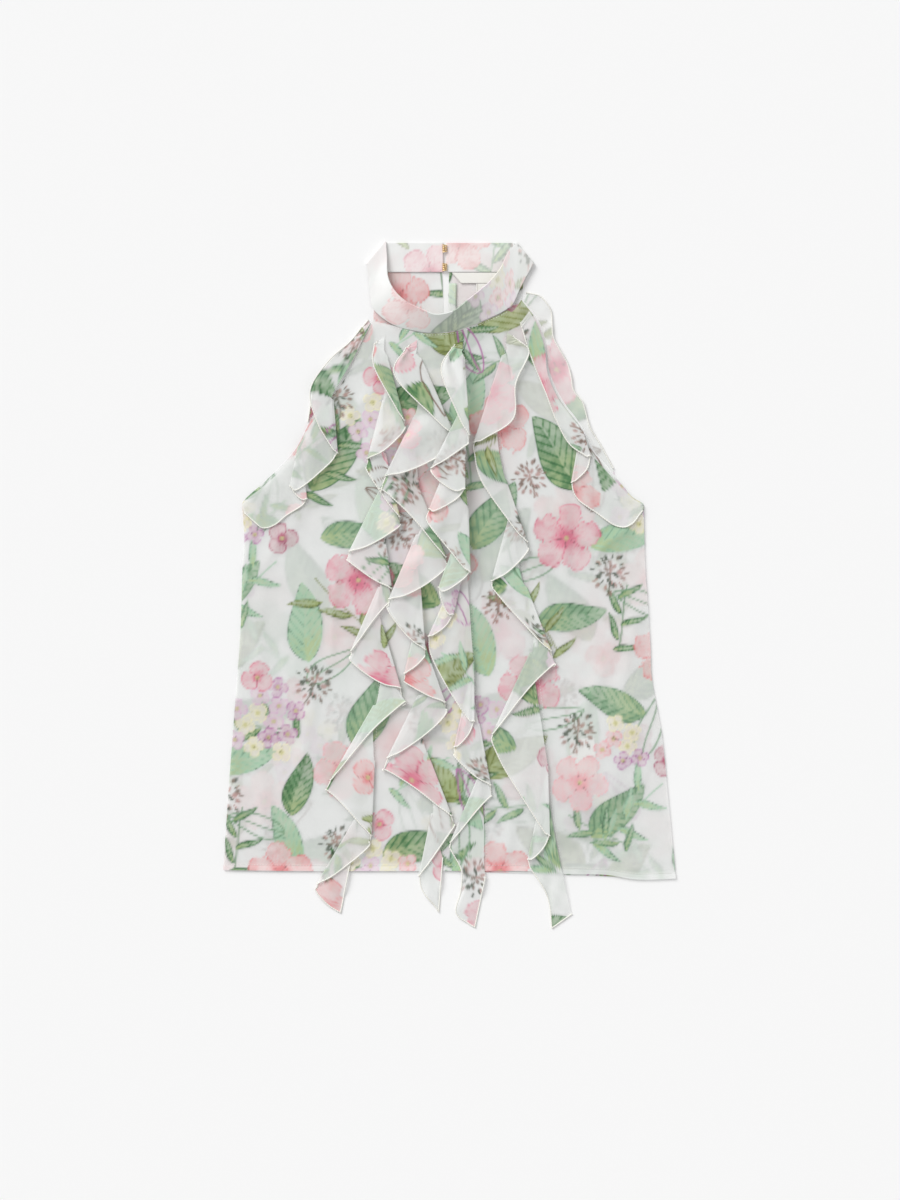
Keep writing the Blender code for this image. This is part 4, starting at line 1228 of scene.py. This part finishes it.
def ruffle_grid(found):
    widest = max(np.linalg.norm(s["grid"][:, -1] - s["grid"][:, 0], axis=1).max() for s in found)
    columns = max(int(widest / FINE_STEP), LEAST_COLUMNS)
    parts = []
    for i, stretch in enumerate(found):
        long = lengths(stretch["grid"][:, -1])[-1]
        fine = finer(stretch["grid"], max(int(long / FINE_STEP), LEAST_ROWS))
        fine = finer(fine.transpose(1, 0, 2), columns).transpose(1, 0, 2)
        parts.append(softened(fine, long, stretch["straight"], i > 0, i + 1 < len(found)))
    rows = []
    for i, fine in enumerate(parts):
        rows += list(fine)
        if i + 1 < len(parts):
            rows += hairpin(fine[-1], parts[i + 1][0], found[i]["out"], FOLD_BULGE, FOLD_ROWS)
    return np.array(rows)


def ruffle(name, print_turn, print_shift):
    """The ruffle's cloth, its grid, and its widest line, seam and free edge on the rolled-out strip."""
    grid = ruffle_grid(stretches[name])
    flat = rolled_out(grid)
    c, s = math.cos(math.radians(print_turn)), math.sin(math.radians(print_turn))
    printed = flat @ np.array([[c, s], [-s, c]]) + np.array(print_shift)
    if not name.startswith("armhole_ruffle_back"):
        grid[..., 2] += front_lift(grid[..., 0], grid[..., 1])
    grid[..., 2] = np.maximum(grid[..., 2], LOWEST_CLOTH)
    edge = np.linalg.norm(flat - flat[:, -1:], axis=-1)
    points = grid.reshape(-1, 3)
    faces = triangles(points, grid_faces(*grid.shape[:2]))
    thing = new_object(name + "_cloth", points, faces, CHIFFON)
    print_on(thing, printed, ROLLED_DENSITY * (1 - ramp(edge, *ROLLED_REACH)))
    wide = float(np.linalg.norm(flat[:, -1] - flat[:, 0], axis=1).max())
    seam, free = float(lengths(flat[:, 0])[-1]), float(lengths(flat[:, -1])[-1])
    return placed(thing, name), grid, (wide, seam, free)


# Columns: turn of the print in degrees, shift of the print
PRINT_ON = {
    "cascade_ruffle_1": (80, (40, 10)),
    "cascade_ruffle_2": (100, (150, 60)),
    "cascade_ruffle_3": (75, (260, 210)),
    "cascade_ruffle_4": (95, (90, 300)),
    "armhole_ruffle_front_left": (60, (10, 120)),
    "armhole_ruffle_front_right": (120, (200, 30)),
    "armhole_ruffle_back_left": (40, (120, 250)),
    "armhole_ruffle_back_right": (130, (300, 160)),
}
grids = {}
cuts = {}
for name, (turn, shift) in PRINT_ON.items():
    pieces[name], grids[name], cuts[name] = ruffle(name, turn, shift)
    wide, seam, free = (round(v) for v in cuts[name])
    print(name, grids[name].shape[:2], "seam", seam, "mm, free edge", free, "mm, widest", wide, "mm")

# %% [markdown]
# ## Collar
#
# The collar is one doubled band: the back ends lie flat, the sides are folded over and the front dips at
# the centre. It is stiffer and denser than the rest, so it gets two faces with a rounded edge.

# %% Collar
COLLAR_V = np.array([0.0, 0.015, *np.linspace(0.05, 0.95, 14), 0.985, 1.0])
COLLAR_BACK_STEPS = 44
COLLAR_FRONT_STEPS = 16
COLLAR_DENSITY = 1.4
COLLAR_LOW = 1.0
COLLAR_RISE_SHARE = 0.2
COLLAR_CORNER = 22
COLLAR_CORNER_STEPS = 10
COLLAR_PRINT_SHIFT = (72, 368)


def collar_grid():
    """One band from the left back end round the front to the right back end."""
    low = COLLAR_LOW
    high = low + 2 * COLLAR_FOLD
    bottom_y, top_y = COLLAR_BACK_Y
    left_fold, right_fold = COLLAR_FRONT[0], COLLAR_FRONT[-1]

    def flat_end(start, end):
        across = np.linspace(start, end, COLLAR_BACK_STEPS)
        return [np.array([(x, bottom_y, low), (x, top_y, low)]) for x in across]

    def corner(row):
        return np.array([(row[0], row[1], low), (row[2], row[3], low)], float)

    def turned(before, after, sign):
        line = before[1][:2] - before[0][:2]
        line = line / np.linalg.norm(line)
        return hairpin(before.copy(), after, sign * np.array([line[1], -line[0]]), COLLAR_FOLD, FOLD_ROWS)

    front = smooth_path(COLLAR_FRONT, COLLAR_FRONT_STEPS)
    fraction = np.linspace(0, 1, len(front))
    grown_up = ramp(fraction, 0, COLLAR_RISE_SHARE)
    base = high + (COLLAR_LIFT - high) * grown_up * ramp(1 - fraction, 0, COLLAR_RISE_SHARE)
    rows = [np.array([(bx, by, z), (tx, ty, z + rise)]) for (bx, by, tx, ty, rise), z in zip(front, base)]
    first, last = corner(left_fold), corner(right_fold)
    stations = flat_end(COLLAR_BACK_ENDS[0], left_fold[0] + COLLAR_CORNER)
    stations += list(np.linspace(stations[-1], first, COLLAR_CORNER_STEPS)[1:])
    stations += turned(first, rows[0], -1) + rows + turned(rows[-1], last, 1)
    back = flat_end(right_fold[0] - COLLAR_CORNER, COLLAR_BACK_ENDS[1])
    stations += list(np.linspace(last, back[0], COLLAR_CORNER_STEPS)) + back[1:]
    ends = np.array(stations)
    v = COLLAR_V[None, :, None]
    return ends[:, :1] * (1 - v) + ends[:, 1:] * v


def doubled(name, grid, wall, flat, finish, dense):
    """A closed cloth: the grid's two faces, wall apart, with a rounded rim."""
    along, across = np.gradient(grid, axis=0), np.gradient(grid, axis=1)
    normal = np.cross(along, across)
    normal = normal / np.maximum(np.linalg.norm(normal, axis=-1, keepdims=True), 1e-9)
    rows, columns = grid.shape[:2]
    count = rows * columns
    faces = grid_faces(rows, columns)
    loop = list(range(columns)) + [i * columns + columns - 1 for i in range(1, rows)]
    loop += [(rows - 1) * columns + j for j in range(columns - 2, -1, -1)]
    loop += [i * columns for i in range(rows - 2, 0, -1)]
    a, b = np.array(loop), np.roll(loop, -1)
    rim = np.column_stack([a, b, b + count, a + count])
    points = np.vstack([(grid + side * normal * wall / 2).reshape(-1, 3) for side in (1, -1)])
    thing = new_object(name, points, np.vstack([faces, faces[:, ::-1] + count, rim[:, ::-1]]), finish)
    print_on(thing, np.vstack([flat.reshape(-1, 2)] * 2), dense)
    return thing


band = collar_grid()
across_mm = np.linalg.norm(np.diff(band, axis=1), axis=-1).sum(axis=1)
along_mm = np.concatenate([[0.0], np.cumsum(np.linalg.norm(np.diff(band.mean(axis=1), axis=0), axis=1))])
band_flat = np.dstack(np.broadcast_arrays(along_mm[:, None], across_mm[:, None] * COLLAR_V[None]))
band_flat = band_flat + COLLAR_PRINT_SHIFT
thing = doubled("collar_cloth", band, COLLAR_CLOTH, band_flat, CHIFFON, COLLAR_DENSITY)
pieces["collar"] = placed(thing, "collar")
print("collar", round(along_mm[-1]), "mm round,", round(float(across_mm.max())), "mm high")

# %% [markdown]
# ## Facing and labels
#
# A pale strip binds the right side of the slit. The neck label, the size label and the care label are
# plain woven tape with raised ends, where the tape is turned under. The neck and size labels are sewn
# down at both ends, in a later step, and the care label lies loose.

# %% Facing and labels
FACING_BELOW_COLLAR = 12.0
FACING_ROWS = 50
FACING_COLUMNS = 6
FACING_WALL = 0.5
FACING_DENSITY = 1.0
FACING_PRINT_SHIFT = (30, 80)
LABEL_WALL = 0.5
LABEL_RIM = (1.0, 1.8)
LABEL_GRID = (40, 30)
LABEL_WAVE = 0.15
LABEL_WAVE_TURN = 5.0
LABEL_RAISE = 0.35


def strip(left_line, right_line, z):
    """A flat grid between two straight lines, each given by its ends."""
    t = np.linspace(0, 1, FACING_ROWS)[:, None]
    low = np.array(left_line[0]) * (1 - t) + np.array(left_line[1]) * t
    high = np.array(right_line[0]) * (1 - t) + np.array(right_line[1]) * t
    grid = np.stack([low + (high - low) * v for v in np.linspace(0, 1, FACING_COLUMNS)], axis=1)
    return np.dstack([grid, np.full(grid.shape[:2], z)])


def drawn_in(slant, u, v):
    """How far the slanted left end of a label draws a point in; u and v run from -0.5 to 0.5."""
    return slant * (0.5 - u) * (0.5 - v)


facing_z = 1.5 * CLOTH + LAYER_GAP
top = COLLAR_BACK_Y[0] - FACING_BELOW_COLLAR
end = COLLAR_BACK_Y[0] - SLIT_LENGTH
inner_top, inner_end = SLIT_X + SLIT_TOP_WIDTH / 2, SLIT_X + SLIT_END_WIDTH / 2
facing = strip([(inner_end, end), (inner_top, top)],
               [(inner_end + FACING_WIDTH, end), (inner_top + FACING_WIDTH, top)], facing_z)
facing_flat = facing[..., :2] + FACING_PRINT_SHIFT
thing = doubled("slit_facing_cloth", facing, FACING_WALL, facing_flat, CHIFFON, FACING_DENSITY)
pieces["slit_facing"] = placed(thing, "slit_facing")

for name, (x, y, width, length, turn, slant) in LABELS.items():
    c, s = math.cos(math.radians(turn)), math.sin(math.radians(turn))
    shares = [np.linspace(-0.5, 0.5, count) for count in LABEL_GRID]
    u, w = np.meshgrid(shares[0] * width, shares[1] * length, indexing="ij")
    ends = np.minimum(np.abs(u + width / 2), np.abs(width / 2 - u))
    wave = LABEL_WAVE * np.sin(u / width * LABEL_WAVE_TURN)
    z = facing_z + wave + LABEL_RAISE * (1 - ramp(ends, *LABEL_RIM))
    u = u + drawn_in(slant, u / width, w / length)
    grid = np.dstack([x + c * u - s * w, y + s * u + c * w, z])
    thing = doubled(name + "_cloth", grid, LABEL_WALL, grid[..., :2], LABEL, 0.0)
    pieces[name] = placed(thing, name)
print("facing and", len(LABELS), "labels")

# %% [markdown]
# ## Threads by Geometry Nodes
#
# A stitch or an overlock loop repeats along a path, so a small node tree makes it from a line of points.
# Both trees share the same steps: a curve, points at even distances, one small instance on each, then
# real geometry.

# %% Geometry Nodes helpers
def geometry_group(name, numbers):
    """A tree that takes geometry, one number for each name and a material. Returns it and its ends."""
    tree = bpy.data.node_groups.new(name, "GeometryNodeTree")
    tree.interface.new_socket("Geometry", in_out="INPUT", socket_type="NodeSocketGeometry")
    for label in numbers:
        tree.interface.new_socket(label, in_out="INPUT", socket_type="NodeSocketFloat")
    tree.interface.new_socket("Material", in_out="INPUT", socket_type="NodeSocketMaterial")
    tree.interface.new_socket("Geometry", in_out="OUTPUT", socket_type="NodeSocketGeometry")
    return tree, tree.nodes.new("NodeGroupInput").outputs, tree.nodes.new("NodeGroupOutput").inputs


def join(tree, *sockets):
    made = add_node(tree, "GeometryNodeJoinGeometry")
    for socket in sockets:
        tree.links.new(socket, made.inputs[0])
    return made.outputs[0]


def node_output(tree, kind, inputs, **settings):
    """Adds a node, sets or links its inputs by name and returns its first output."""
    made = add_node(tree, kind, **settings)
    for name, value in inputs.items():
        put(tree, made.inputs[name], value)
    return made.outputs[0]


def line_as_curve(tree, given):
    return node_output(tree, "GeometryNodeMeshToCurve", {"Mesh": given["Geometry"]})


def circle(tree, resolution, radius):
    return node_output(tree, "GeometryNodeCurvePrimitiveCircle", {"Resolution": resolution, "Radius": radius})


def swept(tree, curve, profile, caps=False):
    values = {"Curve": curve, "Profile Curve": profile, "Fill Caps": caps}
    return node_output(tree, "GeometryNodeCurveToMesh", values)


def repeated(tree, curve, step, shape):
    """The shape at even steps along a curve, with its X along the curve's heading."""
    places = node_output(tree, "GeometryNodeResampleCurve", {"Curve": curve, "Length": step}, mode="LENGTH")
    tangent = node_output(tree, "GeometryNodeInputTangent", {})
    heading = node_output(tree, "FunctionNodeAlignRotationToVector", {"Vector": tangent}, axis="X")
    values = {"Points": places, "Instance": shape, "Rotation": heading}
    return node_output(tree, "GeometryNodeInstanceOnPoints", values)


def finish_tree(tree, geometry, given, out):
    real = node_output(tree, "GeometryNodeRealizeInstances", {"Geometry": geometry})
    coat = node_output(tree, "GeometryNodeSetMaterial", {"Geometry": real, "Material": given["Material"]})
    put(tree, out[0], coat)


def grown(name, lines, tree, values, finish):
    """Runs a tree on lines of points (in millimetres) and keeps the mesh that it makes."""
    points, edges = [], []
    for line in lines:
        start = len(points)
        points += (np.asarray(line) * MM).tolist()
        edges += [(start + i, start + i + 1) for i in range(len(line) - 1)]
    mesh = bpy.data.meshes.new(name)
    mesh.from_pydata(points, edges, [])
    thing = bpy.data.objects.new(name, mesh)
    bpy.context.scene.collection.objects.link(thing)
    modifier = thing.modifiers.new("grow", "NODES")
    modifier.node_group = tree
    sockets = {item.name: item.identifier for item in tree.interface.items_tree if item.in_out == "INPUT"}
    for label, value in values.items():
        modifier[sockets[label]] = value
    modifier[sockets["Material"]] = finish
    graph = bpy.context.evaluated_depsgraph_get()
    made = bpy.data.meshes.new_from_object(thing.evaluated_get(graph))
    thing.modifiers.clear()
    thing.data = made
    return thing


# %% [markdown]
# An overlocked edge is a fine roll of cloth with thread wound round it, so its tree sweeps a small circle
# along the line and sets a slanted ring of thread at each step. A stitch is a short, round-ended bar,
# made from a small sphere that is stretched along the row.

# %% Rolled edge and stitch trees
CORE_SHARE = 0.8
LOOP_SHARE = 0.9
LOOP_THREAD_SHARE = 0.34


def rolled_edge_tree():
    """A soft round edge with slanted overlock loops on it."""
    tree, given, out = geometry_group("rolled_edge", ["Radius", "Step", "Slant"])
    radius = given["Radius"]
    curve = line_as_curve(tree, given)
    core = swept(tree, curve, circle(tree, 5, calc(tree, "MULTIPLY", radius, CORE_SHARE)))
    ring = circle(tree, 7, calc(tree, "MULTIPLY", radius, LOOP_SHARE))
    thread = circle(tree, 3, calc(tree, "MULTIPLY", radius, LOOP_THREAD_SHARE))
    upright = calc(tree, "ADD", given["Slant"], math.pi / 2)
    turn = node_output(tree, "ShaderNodeCombineXYZ", {"Y": upright})
    loop = swept(tree, ring, thread)
    tilted = node_output(tree, "GeometryNodeTransform", {"Geometry": loop, "Rotation": turn})
    loops = repeated(tree, curve, given["Step"], tilted)
    finish_tree(tree, join(tree, core, loops), given, out)
    return tree


def stitch_tree():
    """A row of short stitches that lie on the cloth."""
    tree, given, out = geometry_group("stitch_row", ["Step", "Length", "Radius"])
    ball = {"Segments": 5, "Rings": 4, "Radius": given["Radius"]}
    bar = node_output(tree, "GeometryNodeMeshUVSphere", ball)
    half_length = calc(tree, "MULTIPLY", given["Length"], 0.5)
    stretch = calc(tree, "DIVIDE", half_length, given["Radius"])
    size = node_output(tree, "ShaderNodeCombineXYZ", {"X": stretch, "Y": 1.0, "Z": 1.0})
    long = node_output(tree, "GeometryNodeTransform", {"Geometry": bar, "Scale": size})
    finish_tree(tree, repeated(tree, line_as_curve(tree, given), given["Step"], long), given, out)
    return tree


ROLLED_EDGE, STITCH_ROW = rolled_edge_tree(), stitch_tree()
print("trees:", ROLLED_EDGE.name, STITCH_ROW.name)

# %% [markdown]
# ## Rolled edges of the ruffles
#
# Every free edge has a rolled, overlocked edge: the pale line that draws the ruffles in the photograph.
# It runs on round the loose lower end of a cascade.

# %% Rolled edges
EDGE_RADIUS = 0.0008
EDGE_STEP = 0.0026
EDGE_SLANT = 0.6
LOWEST_EDGE = 0.9
EDGE_VALUES = {"Radius": EDGE_RADIUS, "Step": EDGE_STEP, "Slant": EDGE_SLANT}
for name, grid in grids.items():
    line = grid[:, -1].copy()
    if name in CASCADES:
        line = np.vstack([line, grid[-1, :-1][::-1]])
    line[:, 2] = np.maximum(line[:, 2], LOWEST_EDGE)
    thing = grown(name + "_edge", [line], ROLLED_EDGE, EDGE_VALUES, THREAD)
    pieces[name + "_edge"] = placed(thing, None)
print("edges:", sum(len(p.data.polygons) for n, p in pieces.items() if n.endswith("_edge")), "faces")

# %% [markdown]
# ## Stitch rows
#
# The hems, the collar's seam, the ruffle seams, the facing and the ends of the neck and size labels are
# sewn with short stitches that lie just on top of the cloth.

# %% Stitch rows
STITCH_VALUES = {"Step": 0.0030, "Length": 0.0022, "Radius": 0.00022}
LABEL_STITCH_VALUES = {"Step": 0.0018, "Length": 0.0013, "Radius": 0.00018}
ON_CLOTH = 0.15
HEM_STITCH_X = (-232, 231)
HEM_STITCH_POINTS = 240
HEM_STITCH_RAISE = 0.3
SEAM_STITCH_POINTS = 200
LOWEST_SEAM_STITCH = -285
NECK_STITCH_POINTS = 90
NECK_STITCH_BELOW = 1.5
FACING_STITCH_COLUMN = 4
LABEL_STITCH_POINTS = 12
LABEL_STITCH_INSET = 0.9
LABEL_STITCH_END = 0.8
LABEL_STITCH_RAISE = 0.75


def on_front(x, y):
    return front_rise(x, y) + CLOTH / 2 + front_lift(x, y) + ON_CLOTH


hem_x = np.linspace(*HEM_STITCH_X, HEM_STITCH_POINTS)
sewn_y = hem_y(hem_x) + HEM_WIDTH
front_hem = np.column_stack([hem_x, sewn_y, on_front(hem_x, sewn_y) + HEM_STITCH_RAISE])
back_hem = np.column_stack([hem_x, sewn_y, np.full(len(hem_x), CLOTH / 2 + ON_CLOTH)])
seams = []
for cut in CASCADES.values():
    plan = at_fraction(smooth_path(cut["seam"]), np.linspace(0, 1, SEAM_STITCH_POINTS))
    plan = plan[plan[:, 1] > LOWEST_SEAM_STITCH]
    seams.append(np.column_stack([plan, on_front(plan[:, 0], plan[:, 1])]))
neck = at_fraction(smooth_path(neck_seam()), np.linspace(0, 1, NECK_STITCH_POINTS))
neck_x, neck_y = neck[:, 0], neck[:, 1] - NECK_STITCH_BELOW
seams.append(np.column_stack([neck_x, neck_y, on_front(neck_x, neck_y)]))
rows = {"front_stitches": [front_hem] + seams, "back_stitches": [back_hem]}
facing_edge = facing[:, FACING_STITCH_COLUMN].copy()
facing_edge[:, 2] += FACING_WALL / 2 + ON_CLOTH
rows["slit_stitches"] = [facing_edge]
for name, lines in rows.items():
    pieces[name] = placed(grown(name, lines, STITCH_ROW, STITCH_VALUES, STITCH), None)
label_rows = []
for name, (x, y, width, length, turn, slant) in LABELS.items():
    if name == "care_label":
        continue
    for side in (-1, 1):
        low_y, high_y = y - length / 2 + LABEL_STITCH_END, y + length / 2 - LABEL_STITCH_END
        line_y = np.linspace(low_y, high_y, LABEL_STITCH_POINTS)
        moved = drawn_in(slant, side / 2, (line_y - y) / length)
        line_x = x + side * (width / 2 - LABEL_STITCH_INSET) + moved
        line_z = np.full(LABEL_STITCH_POINTS, facing_z + LABEL_STITCH_RAISE)
        label_rows.append(np.column_stack([line_x, line_y, line_z]))
thing = grown("label_stitches", label_rows, STITCH_ROW, LABEL_STITCH_VALUES, STITCH)
pieces["label_stitches"] = placed(thing, None)
print("stitch rows:", len(seams) + 3, "with", len(label_rows), "on labels")

# %% [markdown]
# ## Fastenings
#
# Two small gold wire closures bridge the back ends of the collar. Each is one wire that runs to and fro
# over the gap in slanted turns.

# %% Fastenings
FASTENINGS = {"fastening_1": (-5.5, 354.0), "fastening_2": (-5.5, 334.4)}
HOOK_SIZE = (5.6, 9.0)
WIRE_TURNS = 4
WIRE_RADIUS = 0.0005
HOOK_Z = 3.2
HOOK_INSET = 0.5
WIRE_STEPS = 16
WIRE_SWING = 0.55


def wire_tree():
    """A round wire along a line, with closed ends."""
    tree, given, out = geometry_group("bent_wire", ["Radius"])
    wire = swept(tree, line_as_curve(tree, given), circle(tree, 10, given["Radius"]), caps=True)
    smooth = node_output(tree, "GeometryNodeSetShadeSmooth", {"Geometry": wire})
    finish_tree(tree, smooth, given, out)
    return tree


WIRE = wire_tree()
for name, (x, y) in FASTENINGS.items():
    t = np.linspace(0, 1, WIRE_STEPS * WIRE_TURNS + 1)
    swing = t * WIRE_TURNS * 2 * math.pi
    width, length = HOOK_SIZE
    to_and_fro = x - np.cos(swing) * (width / 2 - HOOK_INSET)
    up_and_down = y + (t - 0.5) * (length - 2 * HOOK_INSET)
    path = np.column_stack([to_and_fro, up_and_down, HOOK_Z + WIRE_SWING * np.sin(swing)])
    thing = grown(name + "_wire", [path], WIRE, {"Radius": WIRE_RADIUS}, GOLD)
    pieces[name] = placed(thing, name)
print("fastenings:", len(FASTENINGS))

# %% [markdown]
# ## The cut of each cloth
#
# Each sheet prints its flat size and its area. A ruffle is a curved strip, so it states its widest line
# by its length along the middle, with its true area.

BACK_CUT = (0.475, 0.640)
FRONT_CUT = (0.475, 0.610)
FACING_CUT = (0.010, 0.093)


def sheet_area(thing, closed):
    """The area of a cloth in square metres; of a closed one, which has two faces, half of it."""
    mesh = thing.data
    areas_m2 = np.empty(len(mesh.polygons))
    mesh.polygons.foreach_get("area", areas_m2)
    return float(areas_m2.sum()) / (2 if closed else 1)


def declare(key, width, length, rests_on, closed=False, with_pieces=()):
    area = min(sheet_area(pieces[key], closed), width * length)
    print(key, "cut", round(width, 4), "x", round(length, 4), "m, area", round(area, 4), "m2")


declare("back", *BACK_CUT, [floor], with_pieces=["back_stitches"])
declare("front", *FRONT_CUT, [pieces["back"]], with_pieces=["front_stitches"])
collar_cut = (round(float(along_mm[-1]) * MM, 3), round(float(across_mm.max()) * MM, 3))
declare("collar", *collar_cut, [pieces["back"]], closed=True)
declare("slit_facing", *FACING_CUT, [pieces["back"]], closed=True, with_pieces=["slit_stitches"])
for name, (wide, seam, free) in cuts.items():
    under = "back" if name.startswith("armhole_ruffle_back") else "front"
    middle = (seam + free) / 2
    declare(name, round(wide * MM, 3), round(middle * MM, 3), [pieces[under]], with_pieces=[name + "_edge"])
for name, (x, y, width, length, turn, slant) in LABELS.items():
    extra = ["label_stitches"] if name == "neck_label" else []
    declare(name, width * MM, length * MM, [pieces["back"]], closed=True, with_pieces=extra)
